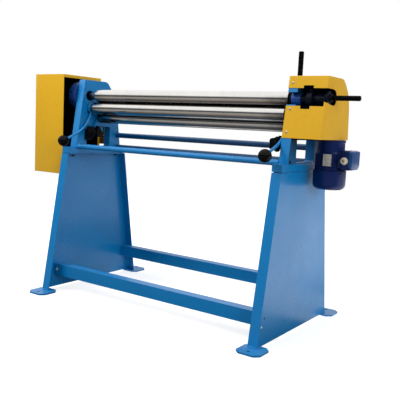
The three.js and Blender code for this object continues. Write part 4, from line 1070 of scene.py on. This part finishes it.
pale_floor = floor_disc("floor", (0.6, 1.2, 1.8, 2.4, 3.2, 4.2, 6.0), -0.0003)
pale_floor.data.materials.append(floor_material("studio_floor", 0.55, pale_strength))
pale_floor.visible_diffuse = False
pale_floor.visible_glossy = False
pale_floor.visible_shadow = False
lit_floor = floor_disc("floor_light", (0.8, 1.6, 2.4, 3.6, 6.0, 9.0), -0.0009)
lit_floor.data.materials.append(floor_material("studio_floor_light", 0.06, lit_strength))
lit_floor.visible_camera = False
lit_floor.visible_shadow = False

world = bpy.data.worlds.new("studio")
scene.world = world
world.use_nodes = True
w = Nodes(world.node_tree)
wout = w.n("ShaderNodeOutputWorld")
dx, dy, dz = w.split(w.n("ShaderNodeTexCoord").outputs["Generated"])
low = w.math("ADD", 0.09, w.math("MULTIPLY", w.span(dy, 0.0, 0.3), 0.10))
reflected = w.blend(w.span(dz, 0.13, 0.42), low, 1.35)
soft = w.n("ShaderNodeBackground")
w.put(soft.inputs["Strength"], w.span(dz, -0.3, 0.9, 0.14, 0.50))
mirror = w.n("ShaderNodeBackground")
w.put(mirror.inputs["Strength"], reflected)
seen = w.n("ShaderNodeBackground")
seen.inputs["Strength"].default_value = 1.0
seen.inputs["Color"].default_value = soft.inputs["Color"].default_value = mirror.inputs["Color"].default_value = (1, 1, 1, 1)
path = w.n("ShaderNodeLightPath")
m1, m2 = w.n("ShaderNodeMixShader"), w.n("ShaderNodeMixShader")
w.t.links.new(path.outputs["Is Glossy Ray"], m1.inputs[0])
w.t.links.new(soft.outputs[0], m1.inputs[1])
w.t.links.new(mirror.outputs[0], m1.inputs[2])
w.t.links.new(path.outputs["Is Camera Ray"], m2.inputs[0])
w.t.links.new(m1.outputs[0], m2.inputs[1])
w.t.links.new(seen.outputs[0], m2.inputs[2])
w.t.links.new(m2.outputs[0], wout.inputs[0])
world.cycles.sampling_method = "NONE"


def area(name, loc, aim, size, power, color=(1, 1, 1), glossy=False):
    data = bpy.data.lights.new(name, "AREA")
    data.shape = "RECTANGLE"
    data.size, data.size_y = size
    data.energy = power
    data.color = color
    ob = bpy.data.objects.new(name, data)
    ob.location = loc
    ob.rotation_euler = (Vector(aim) - Vector(loc)).to_track_quat("-Z", "Y").to_euler()
    scene.collection.objects.link(ob)
    ob.visible_camera = False
    ob.visible_glossy = glossy
    return ob


area("key_front_left", (-2.6, -3.0, 3.8), (0, 0, 0.65), (2.6, 2.0), 175)
area("fill_front_right", (8.0, -3.6, 2.9), (0.0, 0, 0.4), (3.6, 3.0), 268)
area("top_soft", (0.2, -0.3, 3.6), (0.0, 0, 0.7), (3.2, 2.2), 30)
area("rear_soft", (1.2, 3.2, 2.6), (0, 0, 0.7), (2.6, 1.8), 14)

scene.view_settings.view_transform = "Standard"
scene.view_settings.look = "None"
scene.view_settings.exposure = 0.0
scene.view_settings.gamma = 1.0

az, el, roll_a = math.radians(34.65), math.radians(6.9), math.radians(2.73)
back = Vector((math.sin(az) * math.cos(el), -math.cos(az) * math.cos(el), math.sin(el)))
right = (-back).cross(Vector((0, 0, 1))).normalized()
up = right.cross(-back)
rv = right * math.cos(roll_a) + up * math.sin(roll_a)
uv = up * math.cos(roll_a) - right * math.sin(roll_a)
cam_data = bpy.data.cameras.new("camera")
cam_data.lens = 55.07
cam_data.sensor_width = 36.0
cam_data.sensor_fit = "HORIZONTAL"
cam_data.clip_start, cam_data.clip_end = 0.05, 60.0
cam = bpy.data.objects.new("camera", cam_data)
scene.collection.objects.link(cam)
m3 = Matrix((rv, uv, back)).transposed()
cam.matrix_world = Matrix.Translation(Vector((1.67024, -2.27622, 0.83054))) @ m3.to_4x4()
scene.camera = cam
